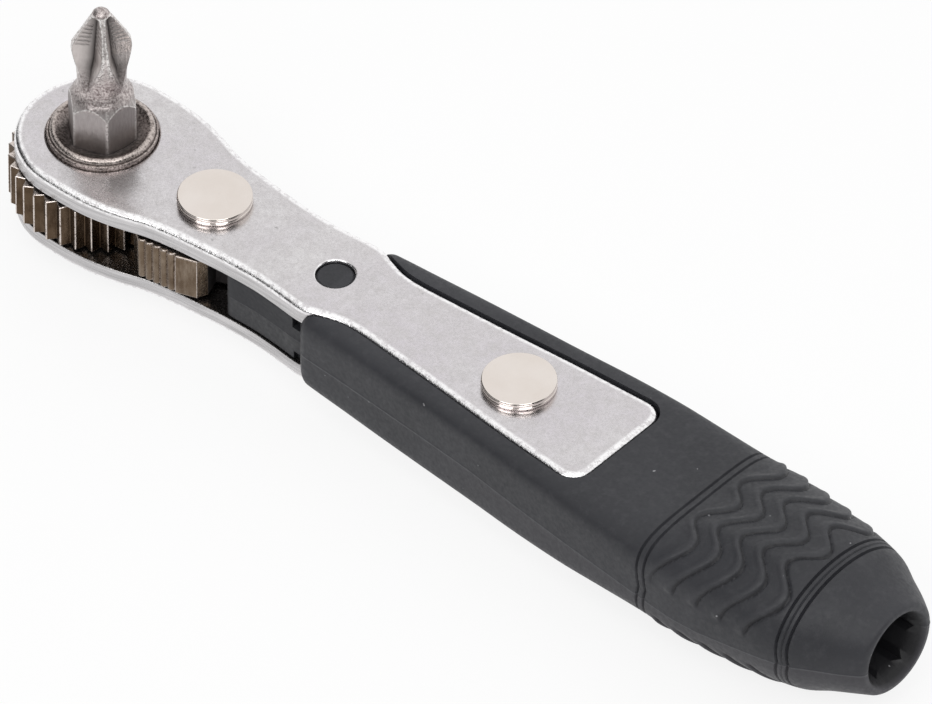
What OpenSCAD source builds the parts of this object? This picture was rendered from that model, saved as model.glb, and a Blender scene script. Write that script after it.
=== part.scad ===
// Ratcheting screwdriver with a flat two-plate head, a reversing rocker pawl and a moulded handle.
// Origin: the drive axis in the middle plane. +X runs along the handle, +Z towards the bit's tip.

/* [Layout] */
// Tip radius of the ratchet gear
gear_tip_r = 9.45; // [8.8:0.05:11]
// From the gear's tips to the pawl's pivot
pivot_gap = 5.55; // [5.4:0.05:5.7]
// From the pawl's pivot to the front of the handle's tongue
tongue_gap = 6.1; // [6:0.1:8]
// From the tongue's front to the locating peg
peg_setback = 9.9; // [9:0.1:11]
// From the tongue's front to the front of the handle's body
body_setback = 10.6; // [9.6:0.1:12]
// Length of the handle's body
body_len = 72.7; // [66:0.1:90]
// How much of the body's length the plates cover
plate_cover = 36.9; // [33:0.1:42]
// From the rear rivet to the plates' rear edge
rivet_setback = 13.4; // [8:0.1:18]

/* [Plates] */
// Thickness of each steel plate
plate_t = 2; // [1.2:0.1:2.6]
// Gap between the two plates
plate_gap = 5.8; // [5:0.1:7]
// How far the gear's tips stand out past the plates' round head
gear_proud = 0.65; // [0.3:0.05:0.9]
// Radius of the plates' two rear corners
plate_corner_r = 2.2; // [1:0.1:3.5]

/* [Ratchet] */
// Number of teeth on the ratchet gear
gear_teeth = 36; // [32:1:40]
// Depth of the gear's teeth
tooth_depth = 0.7; // [0.55:0.05:0.75]
// Free height above and below the gear's toothed ring
gear_side_gap = 0.35; // [0.2:0.05:0.6]
// Radius of the hub collars that turn in the plates
hub_r = 5.6; // [5.2:0.05:6]
// Radial clearance of the hub in the plates
hub_fit = 0.08; // [0.03:0.01:0.1]
// Height of the collar's step above the plate
collar_step_h = 0.55; // [0.3:0.05:0.8]
// Height of the collar's rounded lip above the plate
collar_h = 1; // [0.9:0.05:1.5]
// Radius of the collar's mouth at the top of its funnel
collar_mouth_r = 4.4; // [4.1:0.05:4.6]

/* [Bit] */
// Width across the flats of the bit's hexagon, a quarter inch
bit_af = 6.35; // [5.5:0.05:6.35]
// Clearance on each flat between the bit and the gear
bit_fit = 0.05; // [0.03:0.01:0.08]
// Whole length of the bit
bit_len = 25; // [23:0.5:32]
// Length of the bit's hexagon
bit_hex_len = 13.6; // [11:0.2:15]
// Height of the bit's tip above the middle plane
bit_tip_z = 22; // [20:0.5:28]
// Diameter across the four wings of the tip
wing_d = 6; // [5:0.1:6.2]
// Diameter of the neck between hexagon and wings
neck_d = 5; // [4:0.1:5.4]

/* [Pawl] */
// Whole rocking angle of the pawl, from forward to reverse
pawl_rock = 15; // [14:0.5:16]
// Half the width across the two ribbed thumb pads
pawl_half_w = 6.75; // [6.5:0.05:7.2]
// Number of rounded ribs on each thumb pad
pad_ribs = 5; // [3:1:6]
// Free height above and below the pawl
pawl_side_gap = 0.4; // [0.2:0.05:0.6]

/* [Detent] */
// Radius of the detent ball
ball_r = 1.5; // [1.3:0.05:1.6]
// Radial clearance of the ball in its bore
ball_fit = 0.05; // [0.02:0.01:0.1]
// Wire thickness of the detent spring
spring_wire = 0.36; // [0.3:0.02:0.44]
// Number of turns of the detent spring
spring_turns = 6; // [4:1:6]

/* [Rivets] */
// Radius of the rivets' flat heads
rivet_head_r = 3.8; // [3:0.1:4.2]
// Height of the rivets' flat heads
rivet_head_h = 0.9; // [0.5:0.05:1.5]
// Radius of the rivets' shanks
rivet_r = 2; // [1.5:0.05:2.2]
// Radial clearance of the pawl on its rivet
pawl_fit = 0.05; // [0.02:0.01:0.1]

/* [Handle] */
// Half the handle's largest width
handle_half_w = 10; // [9.5:0.1:12]
// Half the handle's largest height
handle_half_h = 7.35; // [6.8:0.05:9]
// Radius of the locating peg
peg_r = 1.93; // [1.5:0.01:2.1]
// Depth of the socket in the handle's end
socket_depth = 12; // [8:0.5:16]
// Radius of the socket's funnel at the handle's end
mouth_r = 4.25; // [3.9:0.05:4.4]
// Depth of the socket's funnel
mouth_depth = 1.9; // [1:0.1:2.6]
// Depth of the grip's ring grooves
groove_depth = 0.35; // [0.2:0.05:0.5]
// Half the width of one ring groove
groove_half_w = 0.36; // [0.24:0.02:0.44]

/* [Hidden] */
// How far a cut runs past the face it opens
over = 1;
// Clearance of pieces that are fixed to each other
seat_fit = 0.03;

// Places along the handle, from the drive axis
pawl_x = gear_tip_r + pivot_gap;
tongue_x = pawl_x + tongue_gap;
peg_x = tongue_x + peg_setback;
body_x = tongue_x + body_setback;
plate_reach = body_x + plate_cover;
rear_rivet_x = plate_reach - rivet_setback;
handle_end_x = body_x + body_len;
half_stack = plate_gap / 2 + plate_t;

// Plates: half-widths as shares of the head's radius, at stations that are shares of the reach
head_r = gear_tip_r - gear_proud;
plate_station_shares = [0, 0.044, 0.087, 0.131, 0.175, 0.219, 0.262, 0.306, 0.364, 0.408, 0.448, 0.47,
                        0.495, 0.525, 0.554, 0.612, 0.729, 0.845, 1];
plate_width_shares = [1, 0.997, 0.966, 0.888, 0.782, 0.722, 0.684, 0.65, 0.632, 0.65, 0.678, 0.67,
                      0.604, 0.54, 0.527, 0.556, 0.63, 0.71, 0.792];
head_steps = 40;
span_steps = 5;
corner_steps = 8;
recess_gap = 0.2;
peg_gap = 0.07;
peg_recess = 0.25;

// Gear
gear_h = plate_gap - 2 * gear_side_gap;
root_r = gear_tip_r - tooth_depth;
pitch_deg = 360 / gear_teeth;
crest_w = 0.1;
root_w = 0.08;
lip_r = 0.5;
hub_step = 0.18;
gear_af = bit_af + 2 * bit_fit;
funnel_depth = 0.8;

// Retaining ring, in a groove that it fills but for a little room
wire_r = 0.3;
ring_proud = 0.01;
ring_room = 0.06;
ring_gap_deg = 40;
ring_r = hex_corner_r(gear_af) + wire_r - ring_proud;

// Bit, with its heights above the hexagon as shares of what is left up to the tip
hex_turn = -40;
bit_bottom_z = bit_tip_z - bit_len;
bit_hex_top_z = bit_bottom_z + bit_hex_len;
corner_chamfer = 0.45;
neck_blend_h = 1.3;
neck_end_share = 0.32;
wing_height_share = 0.55;
taper_height_share = 0.73;
taper_width_share = 0.86;
tip_width_share = 0.3;
wing_thickness_share = 0.2;
flute_lean = 12;
flute_angle = 92;

// Pawl, drawn about its pivot in its middle position
pawl_h = plate_gap - 2 * pawl_side_gap;
pawl_hub_r = 4;
pad_front = 4.9;
pad_rib_end = 0.46;
rib_w = (pad_front - pad_rib_end) / pad_ribs;
rib_r_share = 0.56;
rib_height_share = 0.3;
pad_y = pawl_half_w - rib_w * rib_height_share;
cheek_x = 2.05;
cheek_drop = 0.5;
pad_rear_x = 2.7;
pad_rear_drop = 1.55;
wing_neck_x = 2.3;
wing_neck_y = 3.2;
front_corner_x = 5.9;
front_corner_y = 5.7;
nose_x = 5.5;
nose_slope = 20;
nose_half_w = 2.5;
cusp_half_w = 0.05;
gear_clear = 0.35;
mesh_clear = 0.12;
tooth_sink = 0.5;
pawl_valley = 2;

// Detent
cusp_gap = 0.08;
ball_x = pawl_x + nose_x + ball_r + cusp_gap;
spring_r_share = 0.76;
spring_r = ball_r * spring_r_share;
spring_rings = 8;
spring_sides = 6;
coil_gap = 0.05;
bore_wall = 1.4;
bore_end_x = peg_x - bore_wall;
spring_front_x = ball_x + sqrt(pow(ball_r + spring_wire / 2 + coil_gap, 2) - pow(spring_r, 2));
spring_back_x = bore_end_x - spring_wire / 2 - coil_gap;

// Rivets
rivet_rim_r = 0.22;

// Handle: widths as shares of the largest, how far the height has risen from the plates' level to
// the largest, and the squareness of the section, at stations that are shares of the body's length
body_station_shares = [0, 0.02, 0.09, 0.17, 0.26, 0.34, 0.42, 0.5, 0.58, 0.65, 0.71, 0.76, 0.82, 0.87,
                       0.915, 0.946, 0.974, 1];
body_width_shares = [0.7, 0.716, 0.739, 0.775, 0.817, 0.859, 0.905, 0.942, 0.968, 0.989, 1, 0.982,
                     0.955, 0.924, 0.862, 0.742, 0.63, 0.5];
body_rise_shares = [0, 0, 0, 0, 0, 0, 0.01, 0.03, 0.07, 0.19, 0.535, 0.82, 0.985, 0.97, 0.775, 0.44,
                    0.2, 0.05];
body_squareness = [5.5, 6, 7.5, 9, 10, 10, 10, 8.5, 6, 4.4, 3.4, 2.8, 2.4, 2.15, 2.05, 2, 2, 2];
front_round = 1.2;
rear_round = 0.4;
round_steps = 4;
body_sides = 48;
body_rings = 30;
groove_pitch = 0.95;
front_groove_share = 0.658;
rear_groove_share = 0.895;
web_h = plate_gap - 2 * seat_fit;
tongue_inset = 0.15;
tongue_corner_r = 0.8;
tongue_sink = 3.5;
tongue_steps = 16;
notch_w = 1.15;
notch_h = 1.35;
notch_deep = 0.9;

// Radius of a hexagon's corners from its width across the flats
function hex_corner_r(af) = af / 2 / cos(30);

function slope(xs, ys, i) =
    i == 0 ? (ys[1] - ys[0]) / (xs[1] - xs[0])
    : i == len(xs) - 1 ? (ys[i] - ys[i - 1]) / (xs[i] - xs[i - 1])
    : (ys[i + 1] - ys[i - 1]) / (xs[i + 1] - xs[i - 1]);

function span_of(xs, x, i = 0) = i >= len(xs) - 2 || x < xs[i + 1] ? i : span_of(xs, x, i + 1);

// Value at x of a smooth curve through the points (xs, ys)
function smooth_at(xs, ys, x) =
    let (i = span_of(xs, x), w = xs[i + 1] - xs[i], t = (x - xs[i]) / w,
         a = slope(xs, ys, i) * w, b = slope(xs, ys, i + 1) * w, d = ys[i + 1] - ys[i])
    ys[i] + t * (a + t * (3 * d - 2 * a - b + t * (a + b - 2 * d)));

function sorted(v) =
    len(v) < 2 ? v
    : let (p = v[floor(len(v) / 2)])
      concat(sorted([for (q = v) if (q < p) q]), [p], sorted([for (q = v) if (q > p) q]));

function plate_w(share) = head_r * smooth_at(plate_station_shares, plate_width_shares, share);

// One side of a plate, from beside the drive axis to the rear edge
function plate_side(grow, side) =
    let (n = len(plate_station_shares) - 1,
         end_x = plate_reach + grow - plate_corner_r,
         shares = [for (i = [0:n - 1], k = [0:span_steps - 1])
                   plate_station_shares[i]
                   + (plate_station_shares[i + 1] - plate_station_shares[i]) * k / span_steps],
         end_y = plate_w(end_x / plate_reach) + grow)
    concat([for (s = shares) if (s * plate_reach < end_x - plate_corner_r / 2)
            [s * plate_reach, side * (plate_w(s) + grow)]],
           [for (k = [0:corner_steps]) let (a = 90 - 90 * k / corner_steps)
            [end_x + plate_corner_r * cos(a), side * (end_y - plate_corner_r + plate_corner_r * sin(a))]]);

function reversed(v) = [for (i = [len(v) - 1:-1:0]) v[i]];

function plate_outline(grow) =
    concat([for (k = [1:head_steps - 1]) let (a = 270 - 180 * k / head_steps)
            [(head_r + grow) * cos(a), (head_r + grow) * sin(a)]],
           plate_side(grow, 1), reversed(plate_side(grow, -1)));

module plate() {
    linear_extrude(plate_t)
        difference() {
            polygon(plate_outline(0));
            circle(hub_r + hub_fit, $fn = 96);
            for (x = [pawl_x, rear_rivet_x])
                translate([x, 0]) circle(rivet_r + seat_fit, $fn = 48);
            translate([peg_x, 0]) circle(peg_r + peg_gap, $fn = 48);
        }
}

module top_plate() {
    color("#c9c6ca") translate([0, 0, plate_gap / 2]) plate();
}

module bottom_plate() {
    color("#c9c6ca") translate([0, 0, -half_stack]) plate();
}

// A flat-headed rivet through both plates
module rivet() {
    for (side = [0, 1]) mirror([0, 0, side]) {
        translate([0, 0, half_stack]) rotate_extrude($fn = 64) rivet_head_half();
    }
    cylinder(h = 2 * half_stack + rivet_head_h, r = rivet_r, center = true, $fn = 48);
}

// Half the section of a rivet's head, with its rounded rim
module rivet_head_half() {
    square([rivet_head_r, rivet_head_h - rivet_rim_r]);
    square([rivet_head_r - rivet_rim_r, rivet_head_h]);
    translate([rivet_head_r - rivet_rim_r, rivet_head_h - rivet_rim_r]) circle(rivet_rim_r, $fn = 32);
}

module pawl_rivet() {
    color("#d9d4c8") translate([pawl_x, 0]) rivet();
}

module handle_rivet() {
    color("#d9d4c8") translate([rear_rivet_x, 0]) rivet();
}

// A tooth valley lies on the +X axis, so that the pawl meets the gear alike on both sides
function gear_points() =
    [for (i = [0:gear_teeth - 1], k = [0:3])
     let (mid = pitch_deg * (i + 0.5),
          crest = crest_w / 2 / gear_tip_r * 180 / PI,
          root = pitch_deg / 2 - root_w / 2 / root_r * 180 / PI,
          a = mid + [-root, -crest, crest, root][k],
          r = [root_r, gear_tip_r, gear_tip_r, root_r][k])
     [r * cos(a), r * sin(a)]];

// Half the section of the collar that shows above the plate: a step and a rounded lip
module collar_half() {
    lip_x = hub_r - hub_step - lip_r;
    square([hub_r, half_stack + collar_step_h]);
    square([lip_x, half_stack + collar_h]);
    square([lip_x + lip_r, half_stack + collar_h - lip_r]);
    translate([lip_x, half_stack + collar_h - lip_r]) circle(lip_r, $fn = 32);
}

module ratchet_gear() {
    color("#8d8272") difference() {
        union() {
            translate([0, 0, -gear_h / 2]) linear_extrude(gear_h) polygon(gear_points());
            for (side = [0, 1]) mirror([0, 0, side]) rotate_extrude($fn = 96) collar_half();
        }
        bore_h = 2 * (half_stack + collar_h + over);
        rotate(hex_turn) cylinder(h = bore_h, r = hex_corner_r(gear_af), center = true, $fn = 6);
        for (side = [0, 1]) mirror([0, 0, side]) gear_funnel();
        cylinder(h = 2 * (wire_r + ring_room), r = ring_r + wire_r + ring_room, center = true, $fn = 64);
    }
}

// The funnel runs from the collar's mouth down to the hexagon's corners
module gear_funnel() {
    top_z = half_stack + collar_h;
    narrow_r = bit_af / 2;
    lean = (collar_mouth_r - narrow_r) / funnel_depth;
    translate([0, 0, top_z - funnel_depth])
        cylinder(h = funnel_depth + over, r1 = narrow_r, r2 = collar_mouth_r + lean * over, $fn = 64);
}

// A split wire ring in the groove of the hexagonal bore
module bit_retaining_ring() {
    color("#b9b9bc") difference() {
        rotate_extrude($fn = 64) translate([ring_r, 0]) circle(wire_r, $fn = 24);
        rotate(-ring_gap_deg / 2)
            linear_extrude(4 * wire_r, center = true)
            polygon([[0, 0], 2 * ring_r * [1, 0], 2 * ring_r * [1, tan(ring_gap_deg)]]);
    }
}

// Half the section of the bit's round parts, from inside the hexagon to the blunt tip
module bit_round_half() {
    tip_h = bit_tip_z - bit_hex_top_z;
    polygon([[0, bit_hex_top_z - over],
             [bit_af / 2, bit_hex_top_z - over],
             [bit_af / 2, bit_hex_top_z],
             [neck_d / 2, bit_hex_top_z + neck_blend_h],
             [neck_d / 2, bit_hex_top_z + tip_h * neck_end_share],
             [wing_d / 2, bit_hex_top_z + tip_h * wing_height_share],
             [wing_d / 2 * taper_width_share, bit_hex_top_z + tip_h * taper_height_share],
             [wing_d / 2 * tip_width_share, bit_tip_z],
             [0, bit_tip_z]]);
}

// One of the four flutes between the wings, leaning so that it runs out on the neck
module flute() {
    far = 2 * wing_d;
    spread = far * tan(flute_angle / 2);
    rotate(45) translate([wing_d * wing_thickness_share / sqrt(2), 0, bit_tip_z])
        rotate([0, -flute_lean, 0]) translate([0, 0, bit_hex_top_z - bit_tip_z])
        linear_extrude(bit_tip_z)
        polygon([[0, 0], [far, -spread], [far, spread]]);
}

// The hexagon, with its corners turned off in cones at both ends
module bit_hexagon() {
    half_len = bit_hex_len / 2;
    corner_r = hex_corner_r(bit_af);
    intersection() {
        translate([0, 0, bit_bottom_z]) cylinder(h = bit_hex_len, r = corner_r, $fn = 6);
        union() {
            translate([0, 0, bit_bottom_z])
                cylinder(h = half_len, r1 = corner_r - corner_chamfer, r2 = bit_af, $fn = 64);
            translate([0, 0, bit_bottom_z + half_len])
                cylinder(h = half_len, r1 = bit_af, r2 = bit_af / 2, $fn = 64);
        }
    }
}

module screwdriver_bit() {
    color("#8f8d8c") rotate(hex_turn) difference() {
        union() {
            bit_hexagon();
            rotate_extrude($fn = 64) bit_round_half();
        }
        for (k = [0:3]) rotate(90 * k) flute();
    }
}

// The pawl about its pivot, before the gear's clearance is cut out of it
module pawl_blank() {
    cylinder(h = pawl_h, r = pawl_hub_r, center = true, $fn = 64);
    linear_extrude(pawl_h, center = true)
        polygon(concat(pawl_half_points(1), reversed(pawl_half_points(-1))));
    for (side = [-1, 1], k = [0:pad_ribs - 1])
        translate([rib_w * (k + 0.5) - pad_front, side * (pawl_half_w - rib_w * rib_r_share)])
        cylinder(h = pawl_h, r = rib_w * rib_r_share, center = true, $fn = 24);
}

function pawl_half_points(side) =
    [for (p = [[-front_corner_x - gear_clear, front_corner_y / 2],
               [-front_corner_x, front_corner_y],
               [-pad_front, pad_y],
               [-pad_rib_end, pad_y],
               [pawl_half_w - pad_y - pad_rib_end, pawl_half_w],
               [cheek_x, pawl_half_w - cheek_drop],
               [pad_rear_x, pawl_half_w - pad_rear_drop],
               [wing_neck_x, wing_neck_y],
               [nose_x - nose_half_w * tan(nose_slope), nose_half_w],
               [nose_x, cusp_half_w]]) [p[0], side * p[1]]];

// One pawl tooth where it sits in its valley, drawn about the pivot with the pawl fully rocked
module pawl_tooth_in_mesh(side) {
    r0 = root_r + mesh_clear;
    r1 = gear_tip_r + gear_clear + tooth_sink;
    half_pitch = gear_tip_r * tan(pitch_deg / 2);
    lean = (half_pitch - crest_w / 2 - root_w / 2) / tooth_depth;
    translate([-pawl_x, 0]) rotate(side * pitch_deg * pawl_valley)
        linear_extrude(pawl_h, center = true)
        polygon([[r0, -root_w / 2], [r1, -root_w / 2 - (r1 - r0) * lean],
                 [r1, root_w / 2 + (r1 - r0) * lean], [r0, root_w / 2]]);
}

module reversing_pawl() {
    color("#8d8272") translate([pawl_x, 0]) rotate(pawl_rock / 2) difference() {
        union() {
            difference() {
                pawl_blank();
                for (turn = [-1, 1]) rotate(turn * pawl_rock / 2) translate([-pawl_x, 0])
                    cylinder(h = pawl_h + over, r = gear_tip_r + gear_clear, center = true, $fn = 120);
            }
            for (side = [-1, 1]) rotate(-side * pawl_rock / 2) pawl_tooth_in_mesh(side);
        }
        cylinder(h = pawl_h + over, r = rivet_r + pawl_fit, center = true, $fn = 48);
    }
}

module detent_ball() {
    color("#d0d0d2") translate([ball_x, 0]) sphere(ball_r, $fn = 48);
}

function spring_centre(k) =
    let (n = spring_turns * spring_rings, a = 360 * k / spring_rings)
    [spring_front_x + (spring_back_x - spring_front_x) * k / n, spring_r * cos(a), spring_r * sin(a)];

// One unbroken tube of wire along the spring's helix
module detent_spring() {
    n = spring_turns * spring_rings;
    points = [for (k = [0:n], j = [0:spring_sides - 1])
              let (a = 360 * k / spring_rings, b = 360 * j / spring_sides,
                   out = [0, cos(a), sin(a)], c = spring_centre(k))
              c + spring_wire / 2 * (cos(b) * out + sin(b) * [1, 0, 0])];
    sides = [for (k = [0:n - 1], j = [0:spring_sides - 1])
             let (j2 = (j + 1) % spring_sides, p = k * spring_sides, q = p + spring_sides)
             each [[p + j, q + j2, q + j], [p + j, p + j2, q + j2]]];
    caps = [[for (j = [spring_sides - 1:-1:0]) j],
            [for (j = [0:spring_sides - 1]) n * spring_sides + j]];
    color("#a9a9ac") polyhedron(points, concat(sides, caps));
}

// Least gap between neighbouring turns of the spring
echo(spring_gap = min([for (k = [0:spring_rings])
                       norm(spring_centre(k + spring_rings) - spring_centre(k))]) - spring_wire);

// Depth of the ring grooves at a station along the handle
groove_centres = [for (share = [front_groove_share, rear_groove_share], k = [-0.5, 0.5])
                  body_x + body_len * share + groove_pitch * k];
function groove_at(x) =
    groove_depth * max([for (c = groove_centres) max(0, 1 - abs(x - c) / groove_half_w)]);

// How much the section is drawn in near the rounded front and rear ends
function end_inset(x) =
    let (f = min(1, (x - body_x) / front_round), r = min(1, (handle_end_x - x) / rear_round))
    front_round * (1 - sqrt(1 - pow(1 - f, 2))) + rear_round * (1 - sqrt(1 - pow(1 - r, 2)));

body_stations = sorted(concat(
    [for (k = [0:round_steps]) body_x + front_round * (1 - cos(90 * k / round_steps))],
    [for (k = [1:body_rings]) body_x + front_round
     + (body_len - front_round - rear_round) * k / body_rings],
    [for (k = [0:round_steps - 1]) handle_end_x - rear_round * (1 - cos(90 * k / round_steps))],
    [for (c = groove_centres, k = [-1:1]) c + groove_half_w * k]));

function body_ring(x) =
    let (share = (x - body_x) / body_len, inset = end_inset(x) + groove_at(x),
         a = handle_half_w * smooth_at(body_station_shares, body_width_shares, share) - inset,
         rise = (handle_half_h - half_stack) * smooth_at(body_station_shares, body_rise_shares, share),
         b = half_stack + rise - inset,
         m = 2 / smooth_at(body_station_shares, body_squareness, share))
    [for (j = [0:body_sides - 1]) let (t = 360 * (j + 0.5) / body_sides, c = cos(t), s = sin(t))
     [x, a * sign(c) * pow(abs(c), m), b * sign(s) * pow(abs(s), m)]];

// The moulded body: one closed skin lofted through its sections
module body_loft() {
    n = len(body_stations);
    points = [for (x = body_stations) each body_ring(x)];
    skin = [for (i = [0:n - 2], j = [0:body_sides - 1])
            let (j2 = (j + 1) % body_sides, p = i * body_sides, q = p + body_sides)
            each [[p + j, q + j, q + j2], [p + j, q + j2, p + j2]]];
    caps = [[for (j = [0:body_sides - 1]) j],
            [for (j = [body_sides - 1:-1:0]) (n - 1) * body_sides + j]];
    polyhedron(points, concat(skin, caps));
}

// The recesses that the plates lie in
module plate_recesses() {
    for (side = [0, 1]) mirror([0, 0, side]) translate([0, 0, web_h / 2])
        linear_extrude(handle_half_h) polygon(plate_outline(recess_gap));
}

// One side of the tongue, which follows the plates' outline between them
function tongue_side(side) =
    let (start_x = tongue_x + tongue_corner_r, run = body_x + tongue_sink - start_x,
         corner_y = tongue_w(start_x) - tongue_corner_r)
    concat([for (k = [0:corner_steps]) let (a = 90 * k / corner_steps)
            [start_x - tongue_corner_r * cos(a), side * (corner_y + tongue_corner_r * sin(a))]],
           [for (k = [1:tongue_steps]) let (x = start_x + run * k / tongue_steps)
            [x, side * tongue_w(x)]]);

function tongue_w(x) = plate_w(x / plate_reach) - tongue_inset;

module tongue_notches() {
    for (up = [0, 1], side = [0, 1]) mirror([0, 0, up]) mirror([0, side, 0])
        translate([body_x - notch_w, plate_w(body_x / plate_reach) - notch_deep, web_h / 2 - notch_h])
        cube([notch_w, head_r, notch_h + over]);
}

// A funnel runs down to the hexagon, whose corners point to both sides
module end_socket() {
    lean = (mouth_r - gear_af / 2) / mouth_depth;
    translate([handle_end_x - mouth_depth, 0]) rotate([0, 90, 0])
        cylinder(h = mouth_depth + over, r1 = gear_af / 2, r2 = mouth_r + lean * over, $fn = 64);
    translate([handle_end_x - socket_depth, 0]) rotate([0, 90, 0]) rotate(90)
        cylinder(h = socket_depth, r = hex_corner_r(gear_af), $fn = 6);
}

module handle() {
    color("#4b4c50") difference() {
        union() {
            difference() {
                body_loft();
                plate_recesses();
            }
            translate([0, 0, -web_h / 2]) linear_extrude(web_h)
                polygon(concat(tongue_side(1), reversed(tongue_side(-1))));
            translate([peg_x, 0])
                cylinder(h = 2 * (half_stack - peg_recess), r = peg_r, center = true, $fn = 48);
        }
        tongue_notches();
        translate([rear_rivet_x, 0])
            cylinder(h = 2 * (half_stack + over), r = rivet_r + seat_fit, center = true, $fn = 48);
        translate([tongue_x - over, 0]) rotate([0, 90, 0])
            cylinder(h = bore_end_x - tongue_x + over, r = ball_r + ball_fit, $fn = 48);
        end_socket();
    }
}

handle();
top_plate();
bottom_plate();
ratchet_gear();
bit_retaining_ring();
screwdriver_bit();
reversing_pawl();
detent_ball();
detent_spring();
pawl_rivet();
handle_rivet();
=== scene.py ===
"""A ratcheting screwdriver: steel plates, a toothed hub with a cross-head bit, a moulded handle."""

import math

import bmesh
import bpy
import numpy as np
from mathutils import Matrix, Vector
from mathutils.geometry import tessellate_polygon


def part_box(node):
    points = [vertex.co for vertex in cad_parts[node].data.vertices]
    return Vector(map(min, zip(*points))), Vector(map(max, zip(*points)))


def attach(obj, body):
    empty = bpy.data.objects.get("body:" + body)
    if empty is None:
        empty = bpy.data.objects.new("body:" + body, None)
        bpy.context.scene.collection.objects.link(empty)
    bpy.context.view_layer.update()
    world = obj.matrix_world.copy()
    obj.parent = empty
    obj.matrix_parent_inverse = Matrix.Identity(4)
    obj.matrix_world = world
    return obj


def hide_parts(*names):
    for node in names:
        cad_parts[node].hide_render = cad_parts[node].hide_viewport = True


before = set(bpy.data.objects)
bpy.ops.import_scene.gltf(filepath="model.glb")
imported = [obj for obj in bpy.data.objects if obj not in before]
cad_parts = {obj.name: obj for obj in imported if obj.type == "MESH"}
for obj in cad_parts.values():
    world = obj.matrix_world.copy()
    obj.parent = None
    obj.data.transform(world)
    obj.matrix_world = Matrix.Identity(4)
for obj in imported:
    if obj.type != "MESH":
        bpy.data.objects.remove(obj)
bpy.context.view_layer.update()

# Lengths below are in millimetres and become metres as meshes are made
MM = 0.001


def box_mm(node):
    """Lowest and highest corners of a CAD node, in millimetres."""
    return np.array(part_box(node)) / MM


# Levels and places taken from the frame
TOP_Z = box_mm("top_plate")[1][2]
PLATE_IN_Z = box_mm("top_plate")[0][2]
TONGUE_X = box_mm("handle")[0][0]
HANDLE_END_X = box_mm("handle")[1][0]
HEAD_TOP_Z = box_mm("pawl_rivet")[1][2]
GEAR_R = box_mm("ratchet_gear")[1][0]
COLLAR_TOP_Z = box_mm("ratchet_gear")[1][2]
# The grip's ridges reach a little lower than the CAD, so the floor does too
FLOOR_DROP = 0.2
FLOOR_Z = min(box_mm(node)[0][2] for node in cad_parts) - FLOOR_DROP


# Camera

# The photograph's view: directions in degrees, then sizes in millimetres and pixels
VIEW_TURN = 41.402
VIEW_HEIGHT = 43.318
VIEW_DISTANCE = 2500
VIEW_TARGET = (50, 0, 4.9)
VIEW_RIGHT = -1.334
VIEW_UP = 0.889
PIXELS_PER_MM = 10.146
IMAGE_WIDTH = 932
SENSOR_WIDTH = 36
# The nearest and farthest that the camera sees, in metres
CLIP_NEAR, CLIP_FAR = 0.1, 20


def make_camera():
    turn = math.radians(VIEW_TURN)
    height = math.radians(VIEW_HEIGHT)
    right = Vector((math.cos(turn), math.sin(turn), 0))
    back = Vector((math.sin(turn) * math.cos(height), -math.cos(turn) * math.cos(height),
                   math.sin(height)))
    up = back.cross(right)
    place = Vector(VIEW_TARGET) + VIEW_DISTANCE * back + VIEW_RIGHT * right + VIEW_UP * up
    data = bpy.data.cameras.new("camera")
    data.sensor_width = SENSOR_WIDTH
    data.lens = PIXELS_PER_MM * VIEW_DISTANCE * SENSOR_WIDTH / IMAGE_WIDTH
    data.clip_start = CLIP_NEAR
    data.clip_end = CLIP_FAR
    camera = bpy.data.objects.new("camera", data)
    axes = Matrix((right, up, back)).transposed().to_4x4()
    camera.matrix_world = Matrix.Translation(place * MM) @ axes
    bpy.context.collection.objects.link(camera)
    bpy.context.scene.camera = camera
    bpy.context.scene.view_settings.view_transform = "Standard"


# Mesh tools

# How near points are that count as one, in a CAD mesh and in a new one, in metres
CAD_MERGE, MESH_MERGE = 1e-7, 1e-8
# How near a face's height is to the one asked for
SAME_HEIGHT = 1e-3
# Mitred corners move by at most one over this times the depth
LEAST_SLANT = 0.4


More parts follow.
